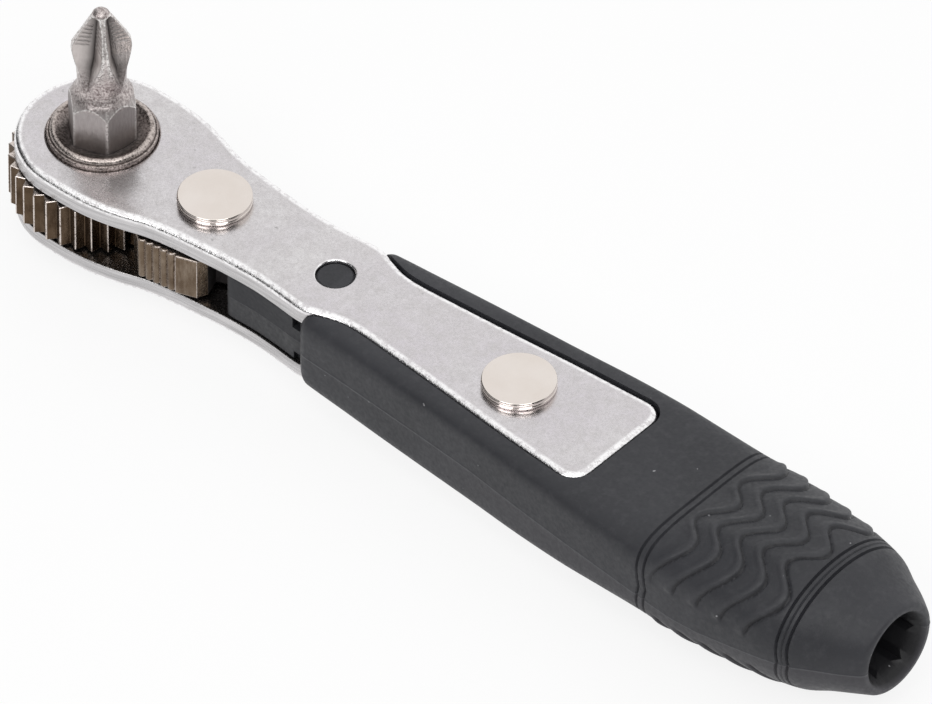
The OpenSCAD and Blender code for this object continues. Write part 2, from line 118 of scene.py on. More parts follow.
class Shell:
    """Collects points in millimetres and the faces between them."""

    def __init__(self):
        self.points = []
        self.faces = []
        self.marks = {}

    def mark(self, name, ring, values):
        """Keeps a value per point, or one for all, which the materials read."""
        self.marks.setdefault(name, {}).update(zip(ring, np.broadcast_to(values, len(ring))))

    def ring(self, points):
        start = len(self.points)
        self.points.extend(tuple(float(v) for v in p) for p in points)
        return list(range(start, len(self.points)))

    def walls(self, outline, profile, sign=1):
        """Rings along an outline, at a profile's depths inwards and heights."""
        return [self.ring(level(inset(outline, sign * depth), z)) for depth, z in profile]

    def band(self, a, b):
        n = len(a)
        self.faces.extend((a[i], a[(i + 1) % n], b[(i + 1) % n], b[i]) for i in range(n))

    def bands(self, rings):
        for a, b in zip(rings, rings[1:]):
            self.band(a, b)

    def bridge(self, a, b):
        """Joins two rings with different counts, by their points' angles."""
        turns = [np.unwrap([math.atan2(*self.points[i][1::-1]) for i in ring]) for ring in (a, b)]
        gap = (turns[1][0] - turns[0][0] + math.pi) % (2 * math.pi) - math.pi
        at = [list(turns[0] - turns[0][0]) + [2 * math.pi],
              list(turns[1] - turns[1][0] + gap) + [2 * math.pi + gap]]
        i = j = 0
        while i < len(a) or j < len(b):
            p, q = a[i % len(a)], b[j % len(b)]
            if j == len(b) or (i < len(a) and at[0][i + 1] <= at[1][j + 1]):
                self.faces.append((p, a[(i + 1) % len(a)], q))
                i += 1
            else:
                self.faces.append((p, b[(j + 1) % len(b)], q))
                j += 1

    def fan(self, ring):
        centre = self.ring([np.mean([self.points[i] for i in ring], axis=0)])[0]
        n = len(ring)
        self.faces.extend((ring[i], ring[(i + 1) % n], centre) for i in range(n))

    def cap(self, loops):
        flat = [i for loop in loops for i in loop]
        outlines = [[Vector(self.points[i]) for i in loop] for loop in loops]
        self.faces.extend(tuple(flat[k] for k in face) for face in tessellate_polygon(outlines))

    def tube(self, rings, end):
        """Bands from ring to ring, and an end over the first and the last."""
        self.bands(rings)
        end(rings[0])
        end(rings[-1])
        return self

    def flat_end(self, ring):
        self.cap([ring])


def level(points, z):
    """Flat points lifted to height z."""
    return [(x, y, z) for x, y in points]


def turned(radii, turns, heights):
    """Points around the z axis; a value for all of them may be one number."""
    spread = np.broadcast_arrays(radii, turns, heights)
    return [(r * math.cos(t), r * math.sin(t), z) for r, t, z in zip(*spread)]


def mirrored(half, middle=()):
    """A profile's upper half with its mirror image below, and what lies between them."""
    return [(r, -z) for r, z in reversed(half)] + list(middle) + half


def even_turns(count):
    return np.arange(count) * 2 * math.pi / count


def circle(radius, count, centre=(0, 0)):
    turns = even_turns(count)
    return np.stack([centre[0] + radius * np.cos(turns), centre[1] + radius * np.sin(turns)], 1)


def arc(centre, radius, first, last, steps):
    """An arc from angle first to last, in degrees; the radius of an ellipse is a pair."""
    across, up = radius if isinstance(radius, tuple) else (radius, radius)
    turns = np.radians(np.linspace(first, last, steps + 1))
    return [(centre[0] + across * math.cos(t), centre[1] + up * math.sin(t)) for t in turns]


def rounded_edge(size, top, steps=4):
    """A rounded edge below the height top, as depths inwards and heights."""
    return [(size * (1 - math.cos(t)), top - size * (1 - math.sin(t)))
            for t in np.radians(np.linspace(0, 90, steps))]


def inset(loop, depth):
    """A closed outline moved inwards by depth, with mitred corners."""
    loop = np.asarray(loop, float)
    ahead = np.roll(loop, -1, 0) - loop
    out = np.stack([ahead[:, 1], -ahead[:, 0]], 1)
    out /= np.linalg.norm(out, axis=1, keepdims=True)
    both = out + np.roll(out, 1, 0)
    both /= np.linalg.norm(both, axis=1, keepdims=True)
    slant = np.maximum(np.sum(both * out, 1), LEAST_SLANT)
    return loop - both * (depth / slant)[:, None]


def beside_corners(loop, gap):
    """The outline with a point beside each corner, on sides that have room."""
    points = []
    for here, ahead in zip(loop, np.roll(loop, -1, 0)):
        length = np.linalg.norm(ahead - here)
        points.append(here)
        if length > 3 * gap:
            step = (ahead - here) * gap / length
            points += [here + step, ahead - step]
    return np.array(points)


def turning(loop):
    """How far an outline turns at each point, in radians."""
    before = loop - np.roll(loop, 1, 0)
    after = np.roll(loop, -1, 0) - loop
    cross = before[:, 0] * after[:, 1] - before[:, 1] * after[:, 0]
    return np.abs(np.arctan2(cross, np.sum(before * after, 1)))


def ordered(loop):
    """The outline counter-clockwise."""
    x, y = loop[:, 0], loop[:, 1]
    area = np.sum(x * np.roll(y, -1) - y * np.roll(x, -1))
    return loop if area > 0 else loop[::-1]


def rim_loops(node, z):
    """The outlines of a CAD node's flat face at height z, the longest first."""
    mesh = bmesh.new()
    mesh.from_mesh(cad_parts[node].data)
    bmesh.ops.remove_doubles(mesh, verts=mesh.verts, dist=CAD_MERGE)
    flat = {f for f in mesh.faces if all(abs(v.co.z / MM - z) < SAME_HEIGHT for v in f.verts)}
    ahead = {}
    for face in flat:
        for loop in face.loops:
            if sum(f in flat for f in loop.edge.link_faces) == 1:
                ahead[loop.vert] = loop.link_loop_next.vert
    loops = []
    while ahead:
        first = next(iter(ahead))
        chain = [first]
        step = ahead.pop(first)
        while step is not first:
            chain.append(step)
            step = ahead.pop(step)
        loops.append(ordered(np.array([(v.co.x / MM, v.co.y / MM) for v in chain])))
    mesh.free()
    return sorted(loops, key=lambda loop: -np.ptp(loop[:, 0]))


def mesh_object(shell, name):
    mesh = bpy.data.meshes.new(name)
    mesh.from_pydata([(x * MM, y * MM, z * MM) for x, y, z in shell.points], [], shell.faces)
    for mark, values in shell.marks.items():
        layer = mesh.attributes.new(mark, "FLOAT", "POINT")
        layer.data.foreach_set("value", [values.get(i, 0.0) for i in range(len(shell.points))])
    tidy = bmesh.new()
    tidy.from_mesh(mesh)
    bmesh.ops.remove_doubles(tidy, verts=tidy.verts, dist=MESH_MERGE)
    bmesh.ops.recalc_face_normals(tidy, faces=tidy.faces)
    tidy.to_mesh(mesh)
    tidy.free()
    obj = bpy.data.objects.new(name, mesh)
    bpy.context.collection.objects.link(obj)
    return obj


def combine(obj, tool, operation):
    """Cuts the tool out of obj, or joins it on, and removes the tool."""
    change = obj.modifiers.new("change", "BOOLEAN")
    change.operation = operation
    change.solver = "MANIFOLD"
    change.object = tool
    bpy.context.view_layer.update()
    graph = bpy.context.evaluated_depsgraph_get()
    mesh = bpy.data.meshes.new_from_object(obj.evaluated_get(graph))
    obj.modifiers.clear()
    obj.data = mesh
    bpy.data.objects.remove(tool)


def place(obj, replaced, body, slot, material, sharp=35):
    """Shades a piece and hands it to its body, in place of CAD nodes."""
    obj.data.polygons.foreach_set("use_smooth", [True] * len(obj.data.polygons))
    obj.data.set_sharp_from_angle(angle=math.radians(sharp))
    obj.data.materials.clear()
    obj.data.materials.append(material)
    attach(obj, body)
    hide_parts(*replaced)


def place_shell(shell, form, cad_node, *rest):
    """Makes the piece, named after its CAD node and its form, and places it."""
    place(mesh_object(shell, f"{cad_node}_{form}"), [cad_node], *rest)


def lathe(profile, sides, centre=(0, 0)):
    """A closed turned shape from its rings' radii and heights."""
    shell = Shell()
    rings = [shell.ring(level(circle(r, sides, centre), z)) for r, z in profile]
    return shell.tube(rings, shell.fan)


# Materials

# Ranges of a noise: its middle, and nearly all of it
SOFT = (0.35, 0.65)
WIDE = (0.3, 0.7)


def new_material(name):
    material = bpy.data.materials.new(name)
    material.use_nodes = True
    return material, material.node_tree


def fill(made, **inputs):
    """Sets a node's inputs, named or numbered as in i0; links wires, makes colours opaque."""
    for name, value in inputs.items():
        socket = made.inputs[int(name[1:]) if name[1:].isdigit() else name.replace("_", " ")]
        if isinstance(value, Wire):
            made.id_data.links.new(value.socket, socket)
        else:
            socket.default_value = (*value, 1) if socket.type == "RGBA" else value


def new_node(tree, kind, settings=None, **inputs):
    made = tree.nodes.new("ShaderNode" + kind)
    for name, value in (settings or {}).items():
        setattr(made, name, value)
    fill(made, **inputs)
    return made


def wire(tree, kind, output, settings=None, **inputs):
    """One output of a new node."""
    return Wire(new_node(tree, kind, settings, **inputs).outputs[output])


class Wire:
    """A shader node's output; sums and products of wires make further nodes."""

    def __init__(self, socket):
        self.socket = socket
        self.tree = socket.id_data

    def math(self, operation, other=0.0):
        return calculate(operation, self, other)

    def __add__(self, other):
        return self.math("ADD", other)

    def __sub__(self, other):
        return self.math("SUBTRACT", other)

    def __rsub__(self, other):
        return calculate("SUBTRACT", other, self)

    def __mul__(self, other):
        return self.math("MULTIPLY", other)

    def __pow__(self, other):
        return self.math("POWER", other)

    def __abs__(self):
        return self.math("ABSOLUTE")

    def remap(self, low, high, to_low=0.0, to_high=1.0):
        """Carries the range from low to high over to another."""
        return wire(self.tree, "MapRange", "Result", Value=self, From_Min=low,
                    From_Max=high, To_Min=to_low, To_Max=to_high)

    def remap_mm(self, low, high, to_low=0.0, to_high=1.0):
        """The same for a length, with low and high in millimetres."""
        return self.remap(low * MM, high * MM, to_low, to_high)


def calculate(operation, a, b):
    """A math node for two values, of which one or both are wires."""
    tree = (a if isinstance(a, Wire) else b).tree
    return wire(tree, "Math", "Value", {"operation": operation}, i0=a, i1=b)


def mix(factor, a, b):
    """From a to b, colours or wires, as the factor grows."""
    return wire(factor.tree, "Mix", 2, {"data_type": "RGBA"}, i0=factor, i6=a, i7=b)


def noise(tree, scale, detail=3.0, roughness=0.5, stretch=(1, 1, 1), seed=0.0):
    """Noise in object space, at a scale given in waves per millimetre."""
    spot = wire(tree, "TexCoord", "Object")
    spot = wire(tree, "Mapping", "Vector", Vector=spot, Scale=stretch,
                Location=(seed,) * 3)
    return wire(tree, "TexNoise", "Fac", Vector=spot, Scale=scale / MM, Detail=detail,
                Roughness=roughness)


def bump(height, depth):
    """A normal from a height that runs over depth millimetres."""
    return wire(height.tree, "Bump", "Normal", Height=height, Strength=1.0,
                Distance=depth * MM)


def mark_value(tree, name):
    """The values that a mesh keeps per point under this name."""
    return wire(tree, "Attribute", "Fac", {"attribute_name": name})


def split_axes(tree, output="Object"):
    """The three coordinates as separate wires."""
    spot = wire(tree, "TexCoord", output)
    return [Wire(socket) for socket in new_node(tree, "SeparateXYZ", Vector=spot).outputs]


def surface(tree, **inputs):
    fill(tree.nodes["Principled BSDF"], **inputs)


PLATE_COOL, PLATE_WARM = (0.67, 0.635, 0.665), (0.73, 0.71, 0.715)
PLATE_MOTTLE, PLATE_GRAIN = (0.61, 0.585, 0.59), (0.46, 0.445, 0.45)
# The second colour here is painted shade for the inner faces, between the plates
PLATE_PIT, PLATE_INSIDE_SHADE = (0.42, 0.41, 0.41), (0.27, 0.255, 0.245)
WALL_DARK, WALL_LIGHT = (0.44, 0.43, 0.435), (0.64, 0.625, 0.63)
# Painted highlight for the rolled edge
ROLL_HIGHLIGHT = (0.97, 0.96, 0.965)


def plate_steel():
    """Satin tumbled steel: grain, clouds, pits, brushed walls, a painted highlight along the rolled
    edge broken by flecks, and painted shade on the inner face.
    """
    material, tree = new_material("plate_steel")
    clouds = noise(tree, 0.12, 4)
    mottle = noise(tree, 0.9, 4, 0.7, seed=11)
    grain = noise(tree, 5.0, 2, 0.8)
    flecks = noise(tree, 2.0, 4, 0.75, seed=5)
    pits = noise(tree, 1.3, 2, 0.4, seed=3).remap(0.74, 0.82)
    scratches = noise(tree, 1.2, 4, 0.7, stretch=(0.12, 1.4, 1), seed=7)
    brushed = noise(tree, 1.0, 4, 0.65, stretch=(0.15, 0.15, 3), seed=15)
    height = abs(split_axes(tree)[2])
    edge = height.remap_mm(TOP_Z - 0.01, TOP_Z - 0.25)
    # The rolled edge's band, which gets a painted highlight
    rolled = height.remap_mm(TOP_Z - 0.012, TOP_Z - 0.04)
    rolled = rolled * height.remap_mm(TOP_Z - 0.66, TOP_Z - 0.50)
    wall = mix(brushed.remap(0.36, 0.62), WALL_DARK, WALL_LIGHT)
    colour = mix(clouds.remap(*SOFT), PLATE_COOL, PLATE_WARM)
    colour = mix(mottle.remap(0.35, 0.68), colour, PLATE_MOTTLE)
    colour = mix(grain.remap(0.42, 0.66, 0, 0.45), colour, PLATE_GRAIN)
    colour = mix(pits, colour, PLATE_PIT)
    colour = mix(height.remap_mm(TOP_Z - 0.58, TOP_Z - 0.72), colour, wall)
    # Painted highlight along the rolled edge, broken by flecks
    colour = mix(rolled * flecks.remap(0.40, 0.52, 0.25, 1.0), colour, ROLL_HIGHLIGHT)
    # Painted shade on the inner face, where it faces the other plate
    colour = mix(height.remap_mm(PLATE_IN_Z + 0.06, PLATE_IN_Z + 0.01), colour, PLATE_INSIDE_SHADE)
    rough = grain.remap(*WIDE, 0.20, 0.34) - rolled * 0.10
    relief = mottle * 0.8 + scratches * 0.4 + grain * 0.14 - pits * 0.6 + flecks * (edge * 3.6)
    surface(tree, Base_Color=colour, Metallic=1.0, Roughness=rough, Normal=bump(relief, 0.018))
    return material


NICKEL = (0.745, 0.68, 0.63), (0.78, 0.72, 0.675)


def rivet_steel():
    """Bright nickel plating with a faint cream tone."""
    material, tree = new_material("rivet_steel")
    clouds = noise(tree, 0.3, 3, seed=2)
    grain = noise(tree, 2.5, 3, 0.6, seed=5)
    surface(tree, Base_Color=mix(clouds.remap(*SOFT), *NICKEL), Metallic=1.0,
            Roughness=grain.remap(*WIDE, 0.05, 0.10), Normal=bump(grain, 0.0012))
    return material


HUB_DARK, HUB_LIGHT = (0.13, 0.105, 0.097), (0.50, 0.435, 0.41)
# Painted shade for steel that the mesh marks dark
CREVICE_SHADE = (0.055, 0.050, 0.050)
# Painted bright, as wear and as a painted highlight
WEAR_HIGHLIGHT_BROWN = (0.72, 0.645, 0.60)
# A length that no point of the object reaches
BEYOND = 1000.0


def bronzed_steel(name, seed, browns, hub_r=0.0, crest_r=BEYOND, edge_z=BEYOND):
    """Hardened steel clouded and streaked with three browns, greyer within hub_r.

    It is polished bright by wear from crest_r outwards and at the rims at edge_z. Where the mesh
    marks it, it is painted bright as wear and as a painted highlight, and dark as painted shade,
    which is also duller.
    """
    material, tree = new_material(name)
    clouds = noise(tree, 0.45, 4, seed=seed)
    streaks = noise(tree, 1.3, 4, 0.65, stretch=(1, 1, 0.25), seed=seed + 2)
    grain = noise(tree, 4.0, 4, 0.65, seed=seed + 1)
    x, y, z = split_axes(tree)
    radius = (x ** 2.0 + y ** 2.0).math("SQRT")
    height = abs(z)
    dark = mark_value(tree, "dark")
    crest = radius.remap_mm(crest_r, crest_r + 0.03)
    rim = height.remap_mm(edge_z - 0.09, edge_z - 0.05)
    rim = rim * height.remap_mm(edge_z + 0.05, edge_z + 0.01)
    # Wear at the crests and rims, and painted highlight with wear where the mesh marks it
    wear_and_highlight = crest.math("MAXIMUM", rim).math("MAXIMUM", mark_value(tree, "wear_and_highlight"))
    grey = mix(grain.remap(0.40, 0.62), HUB_DARK, HUB_LIGHT)
    colour = mix(clouds.remap(*SOFT), browns[0], browns[1])
    colour = mix(streaks.remap(0.45, 0.72, 0, 0.6), colour, browns[2])
    colour = mix(radius.remap_mm(hub_r + 0.1, hub_r), colour, grey)
    # Painted shade where the mesh marks it dark
    colour = mix(dark, colour, CREVICE_SHADE)
    colour = mix(wear_and_highlight * grain.remap(0.3, 0.5), colour, WEAR_HIGHLIGHT_BROWN)
    rough = grain.remap(*WIDE, 0.20, 0.36) + dark * 0.3
    surface(tree, Base_Color=colour, Metallic=1.0 - dark * 0.5, Roughness=rough,
            Normal=bump(grain, 0.03))
    return material


BIT_PLAIN = (0.31, 0.285, 0.28), (0.46, 0.43, 0.42)
BIT_SAND = (0.22, 0.18, 0.175), (0.66, 0.60, 0.585)
BIT_FLANK = (0.50, 0.455, 0.44), (0.68, 0.63, 0.61)
BIT_EDGE_HIGHLIGHT = (0.24, 0.21, 0.20), (0.90, 0.87, 0.85)
BIT_ROOT_SHADE = (0.055, 0.048, 0.046)


def bit_steel():
    """A satin hexagon, a sand-blasted neck and smoother flutes, with edges painted bright as wear
    and as a painted highlight, and painted shade in the flute roots.
    """
    material, tree = new_material("bit_steel")
    sand = noise(tree, 4.2, 3, 0.75)
    fine = noise(tree, 2.6, 3, 0.6, stretch=(1, 1, 0.5), seed=8)
    streaks = noise(tree, 3.0, 3, 0.6, stretch=(1, 1, 0.35), seed=4)
    height = split_axes(tree)[2]
    blast_z = (BIT_HEX_TOP_Z - 0.6, BIT_HEX_TOP_Z + 0.4)
    blasted = height.remap_mm(*blast_z)
    # Painted highlight, partly wear, on the bit's corners, brink and wing edges
    rub_and_highlight = mark_value(tree, "wear_and_highlight")
    smooth = height.remap_mm(ROOT_HEIGHTS[1] - 0.5, ROOT_HEIGHTS[2] + 0.5) * (1.0 - rub_and_highlight)
    smooth = smooth * height.remap_mm(TIP_HEIGHTS[-1], TIP_HEIGHTS[-1] - 0.1)
    colour = mix(blasted, mix(streaks, *BIT_PLAIN), mix(sand.remap(0.38, 0.60), *BIT_SAND))
    colour = mix(smooth, colour, mix(fine, *BIT_FLANK))
    colour = mix(rub_and_highlight, colour, mix(sand.remap(0.36, 0.54), *BIT_EDGE_HIGHLIGHT))
    # Painted shade in the flute roots and on the ribs
    colour = mix(mark_value(tree, "dark"), colour, BIT_ROOT_SHADE)
    relief = mix(smooth, mix(blasted, streaks, sand), fine)
    surface(tree, Base_Color=colour, Metallic=1.0 - rub_and_highlight * 0.5,
            Roughness=height.remap_mm(*blast_z, 0.44, 0.34), Normal=bump(relief, 0.05))
    return material


DRAWN_GREY, POLISHED_GREY = (0.50, 0.50, 0.52), (0.75, 0.75, 0.77)


def wire_steel(name, colour, rough):
    material, tree = new_material(name)
    grain = noise(tree, 3.0, 3)
    tint = mix(grain, tuple(0.8 * c for c in colour), colour)
    surface(tree, Base_Color=tint, Metallic=1.0, Roughness=rough, Normal=bump(grain, 0.002))
    return material


CHARCOAL = (0.0255, 0.0262, 0.0307), (0.0338, 0.0345, 0.040)
# The second colour is painted light below the parting line, standing for light from the floor
CHARCOAL_BLOTCH, CHARCOAL_FLOOR_LIT = (0.056, 0.056, 0.062), (0.055, 0.053, 0.060)
# The second colour is painted shade on the tongue, between the plates
CHARCOAL_SEAM, CHARCOAL_TONGUE_SHADE = (0.13, 0.13, 0.14), (0.020, 0.0205, 0.024)
# Painted highlight on the waves' ridges, and painted shade in their creases
RIDGE_HIGHLIGHT, CREASE_SHADE = (0.06, 0.061, 0.067), (0.008, 0.008, 0.01)
# The first colour is painted shade deep in the socket
SOCKET_SHADE, PALE_SPECKS = (0.004, 0.004, 0.005), (0.30, 0.30, 0.31)


def handle_plastic():
    """Matte charcoal with a leathery grain and pale specks; painted highlight on the ridges,
    painted shade in the creases, socket and tongue, and painted light below the parting line.
    """
    material, tree = new_material("handle_plastic")
    clouds = noise(tree, 0.08, 3)
    blotches = noise(tree, 0.8, 4, 0.7, seed=6)
    grain = noise(tree, 2.2, 3, 0.55)
    specks = noise(tree, 1.1, 2, seed=9)
    x, y, z = split_axes(tree)
    over_seam = z + (x.remap_mm(*SEAM_DOWN) - x.remap_mm(*SEAM_UP)) * (SEAM_SAG * MM)
    # Painted light below the parting line, standing for light from the floor
    floor_lit = over_seam.remap_mm(0.05, -0.15, 0, 0.6) * x.remap_mm(*FLOOR_LIGHT_X)
    waves = mark_value(tree, "wave")
    # Painted shade deep in the socket's mouth and hexagon
    deep = x.remap_mm(HANDLE_END_X - 0.02, HANDLE_END_X - 0.5, 0, 0.85)
    inner = (y ** 2.0 + z ** 2.0).math("LESS_THAN", (MOUTH_R * MM) ** 2)
    inner = inner * x.math("GREATER_THAN", (HANDLE_END_X - 20) * MM)
    colour = mix(clouds.remap(*SOFT), *CHARCOAL)
    colour = mix(blotches.remap(0.5, 0.75, 0, 0.5), colour, CHARCOAL_BLOTCH)
    colour = mix(floor_lit, colour, CHARCOAL_FLOOR_LIT)
    colour = mix(abs(over_seam).remap_mm(0.09, 0.03) * 0.4, colour, CHARCOAL_SEAM)
    # Painted highlight on the waves' ridges, and painted shade in their creases
    colour = mix(waves.remap(0.05, 0.6, 0, 0.25), colour, RIDGE_HIGHLIGHT)
    colour = mix(waves.remap(-0.05, -0.9, 0, 0.7), colour, CREASE_SHADE)
    # Painted shade on the tongue, between the plates
    colour = mix(x.remap_mm(BODY_X + 0.2, BODY_X - 0.2, 0, 0.6), colour, CHARCOAL_TONGUE_SHADE)
    colour = mix(deep * inner, colour, SOCKET_SHADE)
    # Pale specks over the charcoal
    colour = mix(specks.remap(0.765, 0.79), colour, PALE_SPECKS)
    surface(tree, Base_Color=colour, Roughness=grain.remap(*WIDE, 0.42, 0.60),
            Specular_IOR_Level=0.38, Normal=bump(grain, 0.022))
    return material


# Plates

PLATE_SIDES = 96
# The rolled edge: distances in from the outline, and how far the face has sunk there
ROLL_DEPTHS = (0, 0.02, 0.05, 0.09, 0.14, 0.22, 0.36, 0.56, 0.86, 1.3)
ROLL_SINKS = (0.78, 0.58, 0.45, 0.35, 0.265, 0.18, 0.10, 0.045, 0.012, 0)
HOLE_ROLL = 0.22
HOLE_STEPS = 7
SHEAR_EDGE = 0.05


def plate_shell(name, side):
    """A plate with its outer face at side 1 or -1, rolled outside and sheared inside."""
    shell = Shell()
    caps = []
    for index, loop in enumerate(rim_loops(name, side * TOP_Z)):
        if index == 0:
            sign, roll = 1, zip(ROLL_DEPTHS, ROLL_SINKS)
        else:
            centre = loop.mean(0)
            radius = np.linalg.norm(loop - centre, axis=1).mean()
            loop = circle(radius, PLATE_SIDES, centre)
            sign, roll = -1, [(depth, -z) for depth, z in rounded_edge(HOLE_ROLL, 0, HOLE_STEPS)]
        profile = [(SHEAR_EDGE, side * PLATE_IN_Z), (0, side * PLATE_IN_Z + side * SHEAR_EDGE)]
        profile += [(depth, side * TOP_Z - side * sink) for depth, sink in roll]
        rings = shell.walls(loop, profile, sign)
        shell.bands(rings)
        caps.append((rings[-1], rings[0]))
    for ends in zip(*caps):
        shell.cap(ends)
    return shell


# Rivets

RIVET_SIDES = 128
RIVET_SHANK_R = 2.0
# The head's side up to its rim: depths in from its radius, and heights on the plate
RIVET_STEPS = ((0.16, 0), (0, 0.14), (0, 0.36), (0.05, 0.41), (0.02, 0.46))
RIVET_RIM_IN = 0.02
RIVET_RIM_R = 0.14
RIVET_FLAT_IN = 0.9


def rivet_shell(name):
    low, high = box_mm(name)
    radius = (high[0] - low[0]) / 2
    half = [(RIVET_SHANK_R, TOP_Z)]
    half += [(radius - depth, TOP_Z + rise) for depth, rise in RIVET_STEPS]
    half += [(radius - RIVET_RIM_IN, HEAD_TOP_Z - RIVET_RIM_R)]
    rim = (radius - RIVET_RIM_IN - RIVET_RIM_R, HEAD_TOP_Z - RIVET_RIM_R)
    half += arc(rim, RIVET_RIM_R, 0, 90, 5)[1:] + [(radius - RIVET_FLAT_IN, HEAD_TOP_Z)]
    return lathe(mirrored(half), RIVET_SIDES, (low[:2] + high[:2]) / 2)


# Gear

HEX_TURN = math.radians(-40)
HUB_SIDES = 144
HUB_R = 5.6
GEAR_AF = 6.45
GEAR_TOP_Z = 2.55
TOOTH_EDGE = 0.07
FUNNEL_TOP_R = 4.5
FUNNEL_TOP_Z = COLLAR_TOP_Z - 0.22
FUNNEL_LEAN = 2.2
# The collar: its wall's height and round, the groove's three steps, and its lip
COLLAR_WALL_H, COLLAR_WALL_ROUND = 0.40, 0.08
COLLAR_STEPS = ((5.43, 0.475), (5.40, 0.42), (5.35, 0.46))
LIP_R, LIP_HALF_W, LIP_H = 4.90, 0.45, 0.48
# Painted highlight and painted shade on the collar's rings, from its foot over the lip into the
# funnel
HUB_SHINE = (0, 0.1, 0.2, 0.3, 0.2, 0.1, 0.1, 0, 0.1, 0.2, 0.3, 0.4, 0.45, 0.5,
             0.55, 0.55, 0.55, 0.5, 0.45, 0.4, 0.3, 0.2, 0.1, 0, 0, 0)
HUB_SHADE = (0.9, 0, 0, 0, 0, 0, 0, 0.5, 0.9, 0.2,
             0, 0, 0, 0, 0, 0, 0, 0, 0, 0, 0, 0, 0, 0, 0.1, 0.6)
# Where the teeth's crests are polished bright by wear
CREST_R = GEAR_R - 0.034
# Dark and light clouds, then streaks, here and on the pawl
GEAR_BROWNS = ((0.055, 0.034, 0.020), (0.105, 0.071, 0.045), (0.16, 0.115, 0.08))


def hex_radius(turn, flats, corner=HEX_TURN):
    """Distance from the axis to a hexagon's side in the direction turn."""
    step = math.radians(60)
    return flats / 2 / np.cos((turn - corner) % step - step / 2)


def gear_shell():
    teeth = rim_loops("ratchet_gear", GEAR_TOP_Z)[0]
    shell = Shell()
    profile = mirrored([(0, GEAR_TOP_Z - TOOTH_EDGE), (TOOTH_EDGE, GEAR_TOP_Z)])
    walls = shell.walls(teeth, profile)
    shell.bands(walls)
    turns = HEX_TURN + even_turns(HUB_SIDES)
    wall = hex_radius(turns, GEAR_AF)
    meet = FUNNEL_TOP_Z - (FUNNEL_TOP_R - wall) / FUNNEL_LEAN
    wall_top = TOP_Z + COLLAR_WALL_H
    collar = [(HUB_R, GEAR_TOP_Z), (HUB_R, wall_top)]
    collar += arc((HUB_R - COLLAR_WALL_ROUND, wall_top), COLLAR_WALL_ROUND, 0, 90, 4)[1:]
    collar += [(r, TOP_Z + rise) for r, rise in COLLAR_STEPS]
    collar += arc((LIP_R, TOP_Z + LIP_H), (LIP_HALF_W, COLLAR_TOP_Z - TOP_Z - LIP_H), 0, 125, 14)
    collar += [(FUNNEL_TOP_R, FUNNEL_TOP_Z)]
    rows = [turned(r, turns, z) for r, z in collar + [(wall, meet)]]
    upper = [shell.ring(row) for row in rows]
    lower = [shell.ring([(x, y, -z) for x, y, z in row]) for row in rows]
    # Painted highlight and painted shade on the collar's rings
    for ring, shine, shade in zip(upper + lower, HUB_SHINE * 2, HUB_SHADE * 2):
        shell.mark("wear_and_highlight", ring, shine)
        shell.mark("dark", ring, shade)
    shell.bands(upper)
    shell.bands(lower)
    shell.band(upper[-1], lower[-1])
    shell.cap([walls[-1], upper[0]])
    shell.cap([walls[0], lower[0]])
    return shell


# Pawl

PAWL_EDGE = 0.18
PAWL_TOP_Z = 2.5
# Outwards from here the pads get bright lines of wear and painted highlight; the rocker's rear
# between them has painted shade
PAWL_DARK_Y = 4.85
# Bright lines along corners, partly wear and partly painted highlight: width, how sharp a corner
# has one; and the rims' painted highlight
PAWL_LINE = 0.07
BEND_FROM, BEND_OVER = 0.35, 0.3
PAWL_RIM_SHINE = 0.6
PAWL_BROWNS = ((0.12, 0.083, 0.055), (0.205, 0.155, 0.112), (0.33, 0.27, 0.215))
PAWL_PIVOT_X = box_mm("pawl_rivet").mean(0)[0]


def pawl_shell():
    shell = Shell()
    caps = []
    for index, loop in enumerate(rim_loops("reversing_pawl", PAWL_TOP_Z)):
        loop = beside_corners(loop, PAWL_LINE)
        bent = np.clip((turning(loop) - BEND_FROM) / BEND_OVER, 0, 1)
        sign = 1 if index == 0 else -1
        profile = mirrored(rounded_edge(PAWL_EDGE, PAWL_TOP_Z))
        rings = shell.walls(loop, profile, sign)
        # Painted shade on the rocker's rear between the pads; wear and painted highlight on corners
        # and rims
        outside = np.abs(loop[:, 1]) > PAWL_DARK_Y
        hidden = (np.abs(loop[:, 1]) < PAWL_DARK_Y) * (loop[:, 0] > PAWL_PIVOT_X) * 1.0
        for ring in rings:
            shell.mark("dark", ring, hidden)
            shell.mark("wear_and_highlight", ring, (1 - hidden) * bent * outside)
        for ring in rings[1:3] + rings[-3:-1]:
            shell.mark("wear_and_highlight", ring, (1 - hidden) * PAWL_RIM_SHINE)
        shell.bands(rings)
        caps.append((rings[-1], rings[0]))
    for ends in zip(*caps):
        shell.cap(ends)
    return shell


# Bit

BIT_BOTTOM_Z, BIT_TIP_Z = box_mm("screwdriver_bit")[:, 2]
BIT_AF = 6.35
BIT_HEX_TOP_Z = 10.6
# The turned-off corners: way inwards per rise at the top, rise per way outwards at the bottom
CONE_LEAN, END_LEAN = 0.45, 0.6
CONE_STEP = 0.1
END_CHAMFER = 0.35
# The brink between a flat and its cone, painted bright as wear and as a painted highlight, and half
# a corner's rounding in degrees
EDGE_H = 0.06
CORNER_HALF = 0.7
# How bright the corners are painted, as wear and as a painted highlight
CORNER_SHINE = 0.5
SIDE_POINTS = 16
NECK_R = 2.48
# The power of the curves from the hexagon to the neck and over the nub, and the nub's least radius
BLEND_POWER = 1.7
NUB_POINT_R = 0.05
